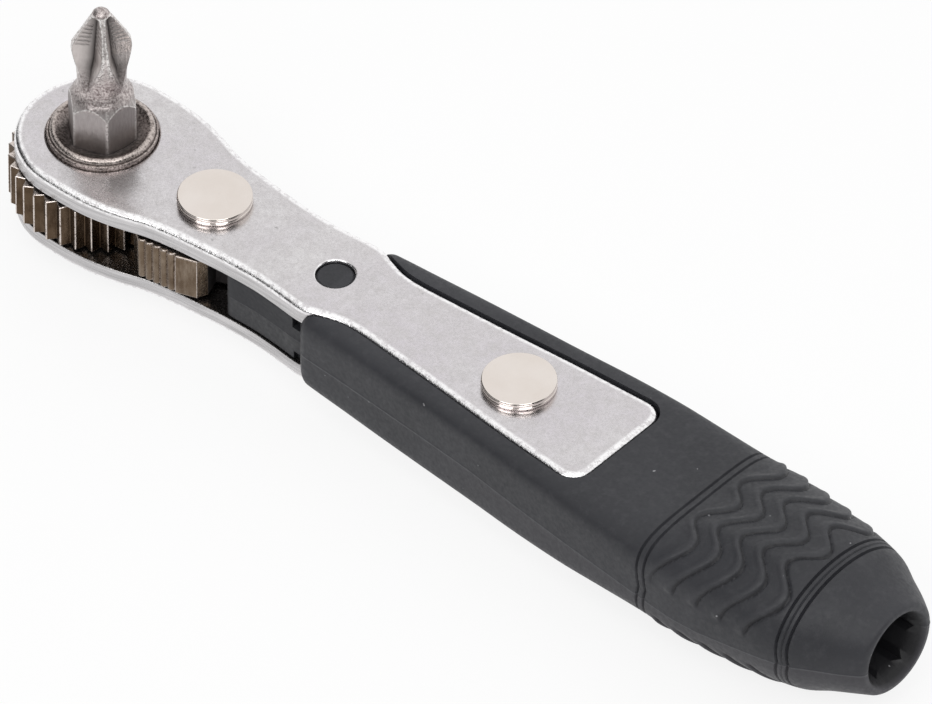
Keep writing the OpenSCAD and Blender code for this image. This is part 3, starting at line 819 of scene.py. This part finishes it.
# Heights of the round parts above the neck's foot, and the radii there
TIP_HEIGHTS = (11.9, 12.8, 14.2, 15.3, 16.1, 16.8, 17.5, 18.3, 19.3, 20.3, 21.0)
TIP_RADII = (2.48, 2.48, 2.57, 2.80, 2.97, 3.05, 2.98, 2.57, 1.98, 1.36, 0.90)
NUB_TOP_Z = BIT_TIP_Z - 0.42
# Heights along a flute's root, its distances from the axis, and half the opening in degrees
ROOT_HEIGHTS = (12.2, 13.7, 14.9, 16.1, 17.9, 19.5, 20.9, 21.05)
ROOT_REACH = (2.52, 2.09, 1.78, 1.33, 1.10, 0.88, 0.72, 1.2)
FLUTE_HALVES = (62, 62, 60, 56, 57, 63, 66, 66)
# The widest that half a flute may be, and the mark's place where there is none
FLUTE_MOST, FLUTE_NONE = math.radians(41), math.radians(0.5)
FLANK_POWER = 1.6
FLANK_STEPS = 18
EDGE_STEPS = 5
RIB_FIRST_Z = 17.5
RIB_PITCH = 0.45
RIB_COUNT = 6
RIB_H = 0.12
# Where ribs stand on a flank, and how deep a flute is to have them, or a dark root
RIB_WINDOW = ((0.2, 0.38, 0.9, 0.97), (0, 1, 1, 0))
RIB_FLUTE, DARK_FLUTE = 0.3, 0.03
# Darkness by the distance from a root, its fading along the height, and that on the ribs
ROOT_SHADE = ((0, 0.15, 0.5, 1.2), (0.95, 0.7, 0.3, 0))
ROOT_FADE = ((12.0, 15.0), (0.3, 1))
RIB_SHADE = 0.42
# Heights at which the wings' painted highlight, which also stands for wear, begins and is full
RUB_HIGHLIGHT_Z = (13.6, 15.2)
# Painted highlight, partly wear, on the wing's strip and brink, and painted shade at the brink
STRIP_SHINE = (1, 1, 0.8, 0.4, 0.3)
BRINK_SHINE, BRINK_SHADE = 0.4, 0.5
# Heights at which the nub's rim is painted bright, as wear and as a painted highlight, and turns
# dull
NUB_RIM_Z = (20.92, 21.06)


def bit_round_radius(z):
    """Radius of the turned parts at height z, above the hexagon's cones."""
    if z < TIP_HEIGHTS[0]:
        share = (z - BIT_HEX_TOP_Z) / (TIP_HEIGHTS[0] - BIT_HEX_TOP_Z)
        return NECK_R + (BIT_AF / 2 - NECK_R) * (1 - share) ** BLEND_POWER
    rise = (z - TIP_HEIGHTS[-1]) / (NUB_TOP_Z - TIP_HEIGHTS[-1])
    if rise > 0:
        return max(NUB_POINT_R, TIP_RADII[-1] * math.sqrt(max(0.0, 1 - rise ** BLEND_POWER)))
    return float(np.interp(z, TIP_HEIGHTS, TIP_RADII))


def rib_at(z):
    """Height of the anti-slip ribs at height z: rounded ridges in a row."""
    run = (z - RIB_FIRST_Z) / RIB_PITCH
    if run < 0 or run > RIB_COUNT:
        return 0.0
    return RIB_H * (0.5 - 0.5 * math.cos(2 * math.pi * run))


def bit_section(z):
    """The bit's outline at height z: turns, radii, its painted highlight with wear, and its painted
    shade.
    """
    outer = bit_round_radius(z)
    reach = float(np.interp(z, ROOT_HEIGHTS, ROOT_REACH))
    opening = math.radians(np.interp(z, ROOT_HEIGHTS, FLUTE_HALVES))
    ratio = min(1.0, reach * math.sin(opening) / outer)
    corner = max(opening - math.asin(ratio), 0.0) if reach < outer else 0.0
    corner = min(corner, FLUTE_MOST)
    fluted = corner > 0
    if not fluted:
        corner = FLUTE_NONE
        reach = outer
    shares = np.linspace(0, 1, FLANK_STEPS + 1)
    flank = corner * (1 - (1 - shares) ** FLANK_POWER)
    edge = np.linspace(corner, math.pi / 4, EDGE_STEPS + 1)[1:]
    depth = (outer - reach) / outer
    half = []
    for share, turn in zip(shares, flank):
        r = outer
        if fluted:
            r = min(outer, reach * math.sin(opening) / math.sin(opening - turn))
        rib = rib_at(z) * np.interp(share, *RIB_WINDOW) if depth > RIB_FLUTE else 0.0
        # Painted shade near a flute's root and on the ribs
        root = float(np.interp(r - reach, *ROOT_SHADE)) if depth > DARK_FLUTE else 0.0
        root *= np.interp(z, *ROOT_FADE)
        half.append((turn, r - rib, 0.0, max(root, RIB_SHADE * rib / RIB_H)))
    # Painted highlight on the wing's strip, which also stands for wear, growing with the height
    rub_and_highlight = float(np.interp(z, RUB_HIGHLIGHT_Z, (0, 1))) if z < NUB_RIM_Z[1] else 0.0
    half[-1] = half[-1][:2] + (rub_and_highlight * BRINK_SHINE, BRINK_SHADE if fluted else 0)
    strip = (1,) * EDGE_STEPS if z > NUB_RIM_Z[0] else STRIP_SHINE
    half += [(turn, outer, rub_and_highlight * shine, 0.0) for turn, shine in zip(edge, strip)]
    outline = []
    for quarter in range(4):
        centre = HEX_TURN + math.pi / 4 + quarter * math.pi / 2
        outline += [(centre + turn, *rest) for turn, *rest in half[:-1]]
        outline += [(centre + math.pi / 2 - turn, *rest) for turn, *rest in reversed(half[1:])]
    return outline


def bit_shell():
    """The whole bit as rings: hexagon with turned-off corners, neck, wings and nub."""
    shell = Shell()
    along = np.linspace(4, 56, SIDE_POINTS - 2)
    side = np.concatenate([[CORNER_HALF], along, [60 - CORNER_HALF]])
    turns = HEX_TURN + np.radians(np.concatenate([60 * k + side for k in range(6)]))
    wall = hex_radius(turns, BIT_AF)
    flat = BIT_AF / 2

    def around(radii, heights):
        return shell.ring(turned(radii, turns, heights))

    foot = flat - END_CHAMFER
    at_corner = np.isin(np.arange(len(turns)) % SIDE_POINTS, (0, SIDE_POINTS - 1))
    brink = BIT_HEX_TOP_Z - (wall - flat) / CONE_LEAN
    rings = [around(foot, BIT_BOTTOM_Z), around(wall, BIT_BOTTOM_Z + (wall - foot) * END_LEAN),
             around(wall, brink - EDGE_H - CONE_STEP), around(wall, brink - EDGE_H),
             around(wall - EDGE_H / 2, brink),
             around(wall - EDGE_H / 2 - CONE_STEP * CONE_LEAN, brink + CONE_STEP)]
    # Painted highlight, partly wear, at the brink and along the corners
    for ring, shine in zip(rings, (0, 0, 0, 0.7, 0.7, 0)):
        shell.mark("wear_and_highlight", ring, np.maximum(at_corner * CORNER_SHINE, shine))
    for z in np.linspace(BIT_HEX_TOP_Z + 0.12, TIP_HEIGHTS[0], 10):
        rings.append(around(bit_round_radius(z), z))
    rib_last_z = RIB_FIRST_Z + RIB_PITCH * RIB_COUNT
    heights = list(np.arange(TIP_HEIGHTS[0] + 0.06, RIB_FIRST_Z - 0.1, 0.1))
    heights += list(np.arange(RIB_FIRST_Z - 0.05, rib_last_z, RIB_PITCH / 8))
    heights += list(np.linspace(rib_last_z + 0.05, NUB_TOP_Z, 30))
    upper = []
    for z in heights:
        spots, radii, rub_and_highlight, dark = zip(*bit_section(z))
        upper.append(shell.ring(turned(radii, spots, z)))
        # Painted highlight with wear, and painted shade, for each ring
        shell.mark("wear_and_highlight", upper[-1], rub_and_highlight)
        shell.mark("dark", upper[-1], dark)
    shell.bands(rings)
    shell.bridge(rings[-1], upper[0])
    shell.bands(upper)
    shell.fan(rings[0])
    shell.fan(upper[-1])
    return shell


# Handle

BODY_X = 31.7
BODY_LEN = HANDLE_END_X - BODY_X
HALF_W = 10.0
HALF_H = 7.35
# Stations along the body: its width, how its top rises over the plates, and its section's power,
# which is 2 for an ellipse and 10 for nearly a box
STATION_SHARES = (0, 0.02, 0.09, 0.17, 0.26, 0.34, 0.42, 0.5, 0.58, 0.65, 0.71, 0.76, 0.82, 0.87,
                  0.915, 0.946, 0.974, 1)
WIDTH_SHARES = (0.7, 0.716, 0.739, 0.775, 0.817, 0.859, 0.905, 0.942, 0.968, 0.989, 1, 0.982, 0.955,
                0.924, 0.862, 0.742, 0.63, 0.5)
RISE_SHARES = (0, 0, 0, 0, 0, 0, 0.01, 0.03, 0.07, 0.19, 0.535, 0.82, 0.985, 0.97, 0.775, 0.44, 0.2,
               0.05)
SQUARENESS = (5.5, 6, 7.5, 9, 10, 10, 10, 8.5, 6, 4.4, 3.4, 2.8, 2.4, 2.15, 2.05, 2, 2, 2)
FRONT_ROUND = 1.6
REAR_ROUND = 0.4
# A quarter of the outline: samples, even steps, and finer ones at the parting line
QUARTER_SAMPLES = 1441
QUARTER_STEPS = 80
SEAM_STEPS = (0, 0.05, 0.11)
FIRST_STEP = 0.25
# The stretch with grooves and waves, and the steps before, in and after it
GRIP_X = (78.6, 98.2)
STATION_STEPS = (0.6, 0.10, 0.35)
LEAST_STEP = 0.012
# The ring grooves: place, depth, half the width; and how they bow at the sides
GROOVES = ((79.1, 0.30, 0.17), (80.0, 0.30, 0.17), (96.25, 0.30, 0.17), (96.85, 0.12, 0.12),
           (97.45, 0.30, 0.17))
GROOVE_DIP = 0.35
GROOVE_DIP_Z = 2.5
GROOVE_POWER = 0.7
WAVE_COUNT = 5
WAVE_FIRST_X = 84.0
WAVE_PITCH = 2.92
WAVE_SWING = 1.25
WAVE_TOP_LEN = 6.5
WAVE_SIDE_LEN = 5.7
WAVE_SIDE_SWING = 1.45
# Each wave in shares of the pitch: a slow rise, a ridge, a sharp crease
WAVE_RISE, WAVE_LEVEL = 0.20, 0.6
RIDGE_AT, RIDGE_HALF, RIDGE_H = 0.74, 0.26, 0.07
CREASE_AT, CREASE_HALF, CREASE_DEPTH = 0.94, 0.11, 0.20
# How far the waves reach from the middle line, on the upper and the lower side
WAVE_END, WAVE_END_UNDER = 12.5, 11.0
# Where they fade: in shares of the pitch, along the outline, and along the handle
FADE_FIRST, FADE_LAST = 0.25, 0.12
FADE_END = 0.5
FADE_FRONT, FADE_REAR = (80.5, 81.5), (95.4, 95.9)
# The parting line: a fine bead, and where it sags and rises again
SEAM_H, SEAM_HALF = 0.04, 0.15
SEAM_SAG = 1.7
SEAM_DOWN = (56, 84)
SEAM_UP = (87, 99)
# Where the painted light on the side below it, which stands for light from the floor, comes in
FLOOR_LIGHT_X = (45, 60)


def smooth_curve(shares, values, at):
    """The same smooth curve through named stations that shapes the CAD body."""
    xs, ys = np.asarray(shares, float), np.asarray(values, float)
    slopes = np.empty_like(ys)
    slopes[1:-1] = (ys[2:] - ys[:-2]) / (xs[2:] - xs[:-2])
    slopes[0] = (ys[1] - ys[0]) / (xs[1] - xs[0])
    slopes[-1] = (ys[-1] - ys[-2]) / (xs[-1] - xs[-2])
    i = np.clip(np.searchsorted(xs, at, side="right") - 1, 0, len(xs) - 2)
    w = xs[i + 1] - xs[i]
    t = (at - xs[i]) / w
    a, b, d = slopes[i] * w, slopes[i + 1] * w, ys[i + 1] - ys[i]
    return ys[i] + t * (a + t * (3 * d - 2 * a - b + t * (a + b - 2 * d)))


def end_round(x):
    """How much the section is drawn in at the front and at the rear."""
    ends = ((FRONT_ROUND, x - BODY_X), (REAR_ROUND, HANDLE_END_X - x))
    return [size * (1 - math.sqrt(max(0, 1 - (1 - min(1.0, run / size)) ** 2)))
            for size, run in ends]


def body_section(x):
    """A quarter of the outline at x, from the side to the top, and its way to the top."""
    share = (x - BODY_X) / BODY_LEN
    inset_front, inset_rear = end_round(x)
    a = HALF_W * smooth_curve(STATION_SHARES, WIDTH_SHARES, share) - inset_front - inset_rear
    rise = (HALF_H - TOP_Z) * smooth_curve(STATION_SHARES, RISE_SHARES, share)
    b = TOP_Z + rise - inset_front - inset_rear
    m = smooth_curve(STATION_SHARES, SQUARENESS, share)
    turns = np.radians(np.linspace(0, 90, QUARTER_SAMPLES))
    r = ((np.cos(turns) / a) ** m + (np.sin(turns) / b) ** m) ** (-1 / m)
    y, z = r * np.cos(turns), r * np.sin(turns)
    run = np.concatenate([[0], np.cumsum(np.hypot(np.diff(y), np.diff(z)))])
    stops = np.concatenate([SEAM_STEPS, np.linspace(FIRST_STEP, run[-1], QUARTER_STEPS)])
    return np.interp(stops, run, y), np.interp(stops, run, z), run[-1] - stops


def groove_depth(x):
    """Depth of the ring grooves at x, each a rounded V."""
    return sum(depth * max(0.0, 1 - abs(x - at) / half) ** GROOVE_POWER
               for at, depth, half in GROOVES)


def wave_line(arc_length):
    """How far along the handle a wave runs, by the distance from the middle line."""
    s = np.abs(arc_length)
    top = WAVE_SWING * np.cos(2 * math.pi * s / WAVE_TOP_LEN)
    turn = np.clip((s - WAVE_TOP_LEN) / WAVE_SIDE_LEN, 0, 1) * math.pi
    side = WAVE_SWING - WAVE_SIDE_SWING + WAVE_SIDE_SWING * np.cos(turn)
    return np.where(s < WAVE_TOP_LEN, top, side)


def hump(value, centre, half):
    """A rounded hump of height 1 around centre."""
    return 0.5 + 0.5 * np.cos(math.pi * np.clip((value - centre) / half, -1, 1))


def wave_relief(x, arc_length, above):
    """Height of the waves at x, and their mark for painted light: 1 on a ridge, -1 in a crease."""
    run = (x - WAVE_FIRST_X + WAVE_SWING - wave_line(arc_length)) / WAVE_PITCH
    share = run % 1.0
    ridge = hump(share, RIDGE_AT, RIDGE_HALF)
    crease = hump(share, CREASE_AT, CREASE_HALF)
    rise = np.where(share < CREASE_AT, np.sin(math.pi / 2 * share / CREASE_AT),
                    (1 - share) / (1 - CREASE_AT))
    reach = np.where(above, WAVE_END, WAVE_END_UNDER)
    fade = np.clip((run + 1.0) / FADE_FIRST, 0, 1)
    fade *= np.clip((WAVE_COUNT - 1 + FADE_LAST - run) / FADE_LAST, 0, 1)
    fade *= np.clip((reach - np.abs(arc_length)) / FADE_END, 0, 1)
    fade *= np.interp(x, FADE_FRONT, (0, 1)) * np.interp(x, FADE_REAR, (1, 0))
    height = WAVE_RISE * (rise - WAVE_LEVEL) + RIDGE_H * ridge - CREASE_DEPTH * crease
    return fade * height, fade * (0.6 * ridge * (1 - crease) - crease)


def seam_z(x):
    """Height of the mould's parting line at x."""
    return -SEAM_SAG * (np.interp(x, SEAM_DOWN, (0, 1)) - np.interp(x, SEAM_UP, (0, 1)))


def body_stations():
    """Places of the body's rings, close together where it is detailed."""
    front = [BODY_X + FRONT_ROUND * (1 - math.cos(t)) for t in np.radians(np.arange(0, 90, 9))]
    rear = [HANDLE_END_X - REAR_ROUND * (1 - math.cos(t)) for t in np.radians(np.arange(0, 90, 12))]
    limits = (BODY_X + FRONT_ROUND, *GRIP_X, HANDLE_END_X - REAR_ROUND)
    between = [x for first, last, step in zip(limits, limits[1:], STATION_STEPS)
               for x in np.arange(first, last, step)]
    fine = [at + k * half for at, _, half in GROOVES for k in (-1, -0.5, 0, 0.5, 1)]
    stations = sorted(front + rear + between + fine)
    kept = stations[:1]
    for x in stations[1:]:
        if x - kept[-1] > LEAST_STEP:
            kept.append(x)
    return kept


def body_shell():
    """The handle's outside: the plain body with grooves, waves and parting line."""
    shell = Shell()
    grid = []
    arcs = []
    stations = body_stations()
    for x in stations:
        y, z, from_top = body_section(x)
        quarter = np.stack([np.full_like(y, x), y, z], 1)
        top = np.concatenate([quarter, quarter[-2::-1] * [1, -1, 1]])
        grid.append(np.concatenate([top, top[-2:0:-1] * [1, 1, -1]]))
        way = np.concatenate([from_top, -from_top[-2::-1]])
        arcs.append(np.concatenate([way, way[-2:0:-1]]))
    grid, arcs = np.array(grid), np.array(arcs)
    along = np.gradient(grid, axis=0)
    around = np.roll(grid, -1, 1) - np.roll(grid, 1, 1)
    normal = np.cross(around, along)
    normal /= np.linalg.norm(normal, axis=2, keepdims=True) + 1e-12
    facing = np.sign(np.sum(normal * grid * np.array([0, 1, 1]), axis=2, keepdims=True))
    normal *= np.where(facing == 0, 1, facing)
    lift = np.zeros(arcs.shape)
    waves = np.zeros(arcs.shape)
    for i, x in enumerate(stations):
        dip = GROOVE_DIP * np.clip(1 - np.abs(grid[i, :, 2]) / GROOVE_DIP_Z, 0, 1) ** 2
        lift[i] -= [groove_depth(x - d) for d in dip]
        height, waves[i] = wave_relief(x, arcs[i], grid[i, :, 2] > 0)
        bead = SEAM_H * np.clip(1 - np.abs(grid[i, :, 2] - seam_z(x)) / SEAM_HALF, 0, 1)
        lift[i] += height + bead
    grid = grid + normal * lift[..., None]
    rings = [shell.ring(row) for row in grid]
    for ring, values in zip(rings, waves):
        shell.mark("wave", ring, values)
    return shell.tube(rings, shell.fan)


# Room around the plates, and half the thickness of the handle between them
RECESS_GAP = 0.22
WEB_Z = 2.87
PEG_X = 31.0
PEG_R = 1.93
PEG_EDGE = 0.2
PEG_RECESS = 0.25
TONGUE_INSET = 0.15
TONGUE_ROUND = 0.8
TONGUE_EDGE = 0.35
TONGUE_SINK_X = 35.2
# The tongue's parting line: half its width, and how far it stands out
TONGUE_SEAM_HALF, TONGUE_SEAM_H = 0.12, 0.04
# Notches beside the tongue: start, end, height, upper or lower side, depth inwards
NOTCHES = ((30.45, 31.55, 1.45, 1, 0.9), (30.6, 31.5, 1.15, -1, 0.7))
# How far from the middle their cutters start and end, and how far up they reach
NOTCH_Y = (5.95, 9)
NOTCH_OVER = 0.5
MOUTH_R = 4.3
MOUTH_DEPTH = 1.95
MOUTH_LIP = 0.12
MOUTH_SIDES = 96
SOCKET_DEPTH = 12.0
BORE_R, BORE_HALF = 2.03, 9


def prism(loop, low, high):
    shell = Shell()
    return shell.tube([shell.ring(level(loop, z)) for z in (low, high)], shell.flat_end)


def tongue_shell():
    """The tongue between the plates, which follows their outline."""
    plate = inset(rim_loops("top_plate", TOP_Z)[0], TONGUE_INSET)
    front_x = TONGUE_X + TONGUE_ROUND
    side = plate[(plate[:, 1] > 0) & (plate[:, 0] > front_x) & (plate[:, 0] < TONGUE_SINK_X)]
    side = side[np.argsort(side[:, 0])]
    corner = arc((front_x, side[0][1] - TONGUE_ROUND), TONGUE_ROUND, 180, 90, 8)
    half = np.array(corner + [tuple(p) for p in side])
    loop = ordered(np.concatenate([half * [1, -1], half[::-1]]))
    shell = Shell()
    seam = ((0, -TONGUE_SEAM_HALF), (-TONGUE_SEAM_H, 0), (0, TONGUE_SEAM_HALF))
    profile = mirrored(rounded_edge(TONGUE_EDGE, WEB_Z), seam)
    return shell.tube(shell.walls(loop, profile), shell.flat_end)


def socket_shell():
    """The space in the handle's end: a round mouth, then a hexagon."""
    shell = Shell()
    turns = even_turns(MOUTH_SIDES)
    wall = hex_radius(turns, GEAR_AF, 0)
    lean = (MOUTH_R - GEAR_AF / 2) / MOUTH_DEPTH
    over = 0.5

    def row(radii, places):
        return shell.ring([(x, y, z) for y, z, x in turned(radii, turns, places)])

    lip_r = MOUTH_R + MOUTH_LIP
    rings = [row(lip_r + over, HANDLE_END_X + over), row(lip_r, HANDLE_END_X),
             row(MOUTH_R - MOUTH_LIP * lean, HANDLE_END_X - MOUTH_LIP),
             row(wall, HANDLE_END_X - (MOUTH_R - wall) / lean),
             row(wall, HANDLE_END_X - SOCKET_DEPTH)]
    return shell.tube(rings, shell.fan)


def handle_object():
    body = mesh_object(body_shell(), "handle_moulded")

    def change(shell, name, operation="DIFFERENCE"):
        combine(body, mesh_object(shell, name), operation)

    for side, name in ((1, "top_plate"), (-1, "bottom_plate")):
        loop = inset(rim_loops(name, side * TOP_Z)[0], -RECESS_GAP)
        change(prism(loop, *sorted((side * WEB_Z, side * (HALF_H + 1)))), "recess")
    change(tongue_shell(), "tongue", "UNION")
    peg_z = TOP_Z - PEG_RECESS
    profile = mirrored([(PEG_R, peg_z - PEG_EDGE), (PEG_R - PEG_EDGE, peg_z)])
    change(lathe(profile, 96, (PEG_X, 0)), "peg", "UNION")
    for x0, x1, height, side, deep in NOTCHES:
        for flank in (-1, 1):
            y0, y1 = sorted((flank * (NOTCH_Y[0] - deep), flank * NOTCH_Y[1]))
            z0, z1 = sorted((side * (WEB_Z - height), side * (WEB_Z + NOTCH_OVER)))
            change(prism([(x0, y0), (x1, y0), (x1, y1), (x0, y1)], z0, z1), "notch")
    change(socket_shell(), "socket")
    bore_at = (box_mm("handle_rivet").mean(0)[0], 0)
    change(lathe([(BORE_R, -BORE_HALF), (BORE_R, BORE_HALF)], 64, bore_at), "rivet_bore")
    return body


# Stage and light

FLOOR_HALF = 3000
FLOOR_GREY = (0.92, 0.92, 0.92)
FLOOR_GLOW = 0.85
# The sky is white, with a dark part that the metal mirrors and a bright one overhead. Turns are
# degrees from the camera's direction, heights in the sky are sines
CAMERA_TURN = math.radians(VIEW_TURN - 90)
DARK = 0.05
DARK_MIDDLE = -40
DARK_SIDE = (118, 104)
DARK_LOW = (0.04, 0.12)
DARK_HIGH = (0.84, 0.68)
ZENITH = (0.88, 0.96)
ZENITH_GLOW = 1.3
# Two soft lamps in front of the dark part: turn, width, power
LAMPS = ((-40, 500, 2.3), (21, 460, 2.1))
LAMP_TALL = 380
LAMP_DISTANCE = 1000
LAMP_HEIGHT = math.radians(45)
LAMP_TARGET = Vector((50, 0, 0))


def make_floor():
    corners = [(x * FLOOR_HALF, y * FLOOR_HALF, FLOOR_Z)
               for x, y in ((-1, -1), (1, -1), (1, 1), (-1, 1))]
    shell = Shell()
    shell.faces.append(tuple(shell.ring(corners)))
    floor = mesh_object(shell, "floor")
    material, tree = new_material("floor")
    surface(tree, Base_Color=FLOOR_GREY, Roughness=0.9, Specular_IOR_Level=0.0)
    glow = new_node(tree, "Emission", Color=(1, 1, 1), Strength=1.0)
    rays = new_node(tree, "LightPath").outputs
    seen = Wire(rays["Is Camera Ray"]).math("MAXIMUM", Wire(rays["Is Glossy Ray"]))
    seen = seen.math("MAXIMUM", Wire(rays["Is Transmission Ray"]))
    mixed = new_node(tree, "MixShader", Fac=seen * FLOOR_GLOW,
                     i1=Wire(tree.nodes["Principled BSDF"].outputs[0]), i2=Wire(glow.outputs[0]))
    fill(tree.nodes["Material Output"], Surface=Wire(mixed.outputs[0]))
    floor.data.materials.append(material)


def make_world():
    world = bpy.data.worlds.new("studio")
    bpy.context.scene.world = world
    world.use_nodes = True
    tree = world.node_tree
    sky = wire(tree, "TexCoord", "Generated")
    ahead = (math.cos(CAMERA_TURN), math.sin(CAMERA_TURN), 0)
    aside = (-math.sin(CAMERA_TURN), math.cos(CAMERA_TURN), 0)
    towards, across = [wire(tree, "VectorMath", "Value", {"operation": "DOT_PRODUCT"},
                            i0=sky, i1=way) for way in (ahead, aside)]
    turn = abs(across.math("ARCTAN2", towards) - math.radians(DARK_MIDDLE))
    height = split_axes(tree, "Generated")[2]
    dark = turn.remap(*np.radians(DARK_SIDE)) * (height.remap(*DARK_LOW) * height.remap(*DARK_HIGH))
    colour = mix(dark, (1, 1, 1), (DARK,) * 3)
    colour = mix(height.remap(*ZENITH), colour, (ZENITH_GLOW,) * 3)
    fill(tree.nodes["Background"], Color=colour, Strength=1.0)


def make_lights():
    for turn, wide, power in LAMPS:
        turn = CAMERA_TURN + math.radians(turn)
        across = LAMP_DISTANCE * math.cos(LAMP_HEIGHT)
        spot = Vector((LAMP_TARGET.x + across * math.cos(turn), across * math.sin(turn),
                       LAMP_DISTANCE * math.sin(LAMP_HEIGHT)))
        data = bpy.data.lights.new("lamp", "AREA")
        data.shape = "RECTANGLE"
        data.size = wide * MM
        data.size_y = LAMP_TALL * MM
        data.energy = power
        light = bpy.data.objects.new("lamp", data)
        light.location = spot * MM
        light.rotation_euler = (LAMP_TARGET - spot).to_track_quat("-Z", "Y").to_euler()
        bpy.context.collection.objects.link(light)


def keep_small_nodes():
    """Steels for the hidden CAD pieces, which stay as they are."""
    drawn = wire_steel("spring_steel", DRAWN_GREY, 0.3)
    polished = wire_steel("ball_steel", POLISHED_GREY, 0.12)
    small = {"detent_ball": polished, "detent_spring": drawn, "bit_retaining_ring": drawn}
    for name, material in small.items():
        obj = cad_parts[name]
        obj.data.materials.clear()
        obj.data.materials.append(material)


make_camera()
make_floor()
make_world()
make_lights()
satin, nickel = plate_steel(), rivet_steel()
for name, side in (("top_plate", 1), ("bottom_plate", -1)):
    place_shell(plate_shell(name, side), "rolled", name, "handle", "plate_steel", satin)
for name in ("pawl_rivet", "handle_rivet"):
    place_shell(rivet_shell(name), "headed", name, "handle", "rivet_steel", nickel)
bronze = bronzed_steel("gear_steel", 1, GEAR_BROWNS, HUB_R, CREST_R, GEAR_TOP_Z)
place_shell(gear_shell(), "toothed", "ratchet_gear", "gear", "gear_steel", bronze, 25)
bronze = bronzed_steel("pawl_steel", 5, PAWL_BROWNS)
place_shell(pawl_shell(), "ribbed", "reversing_pawl", "pawl", "pawl_steel", bronze, 40)
place_shell(bit_shell(), "winged", "screwdriver_bit", "bit", "bit_steel", bit_steel(), 18)
place(handle_object(), ["handle"], "handle", "handle_plastic", handle_plastic(), 32)
keep_small_nodes()
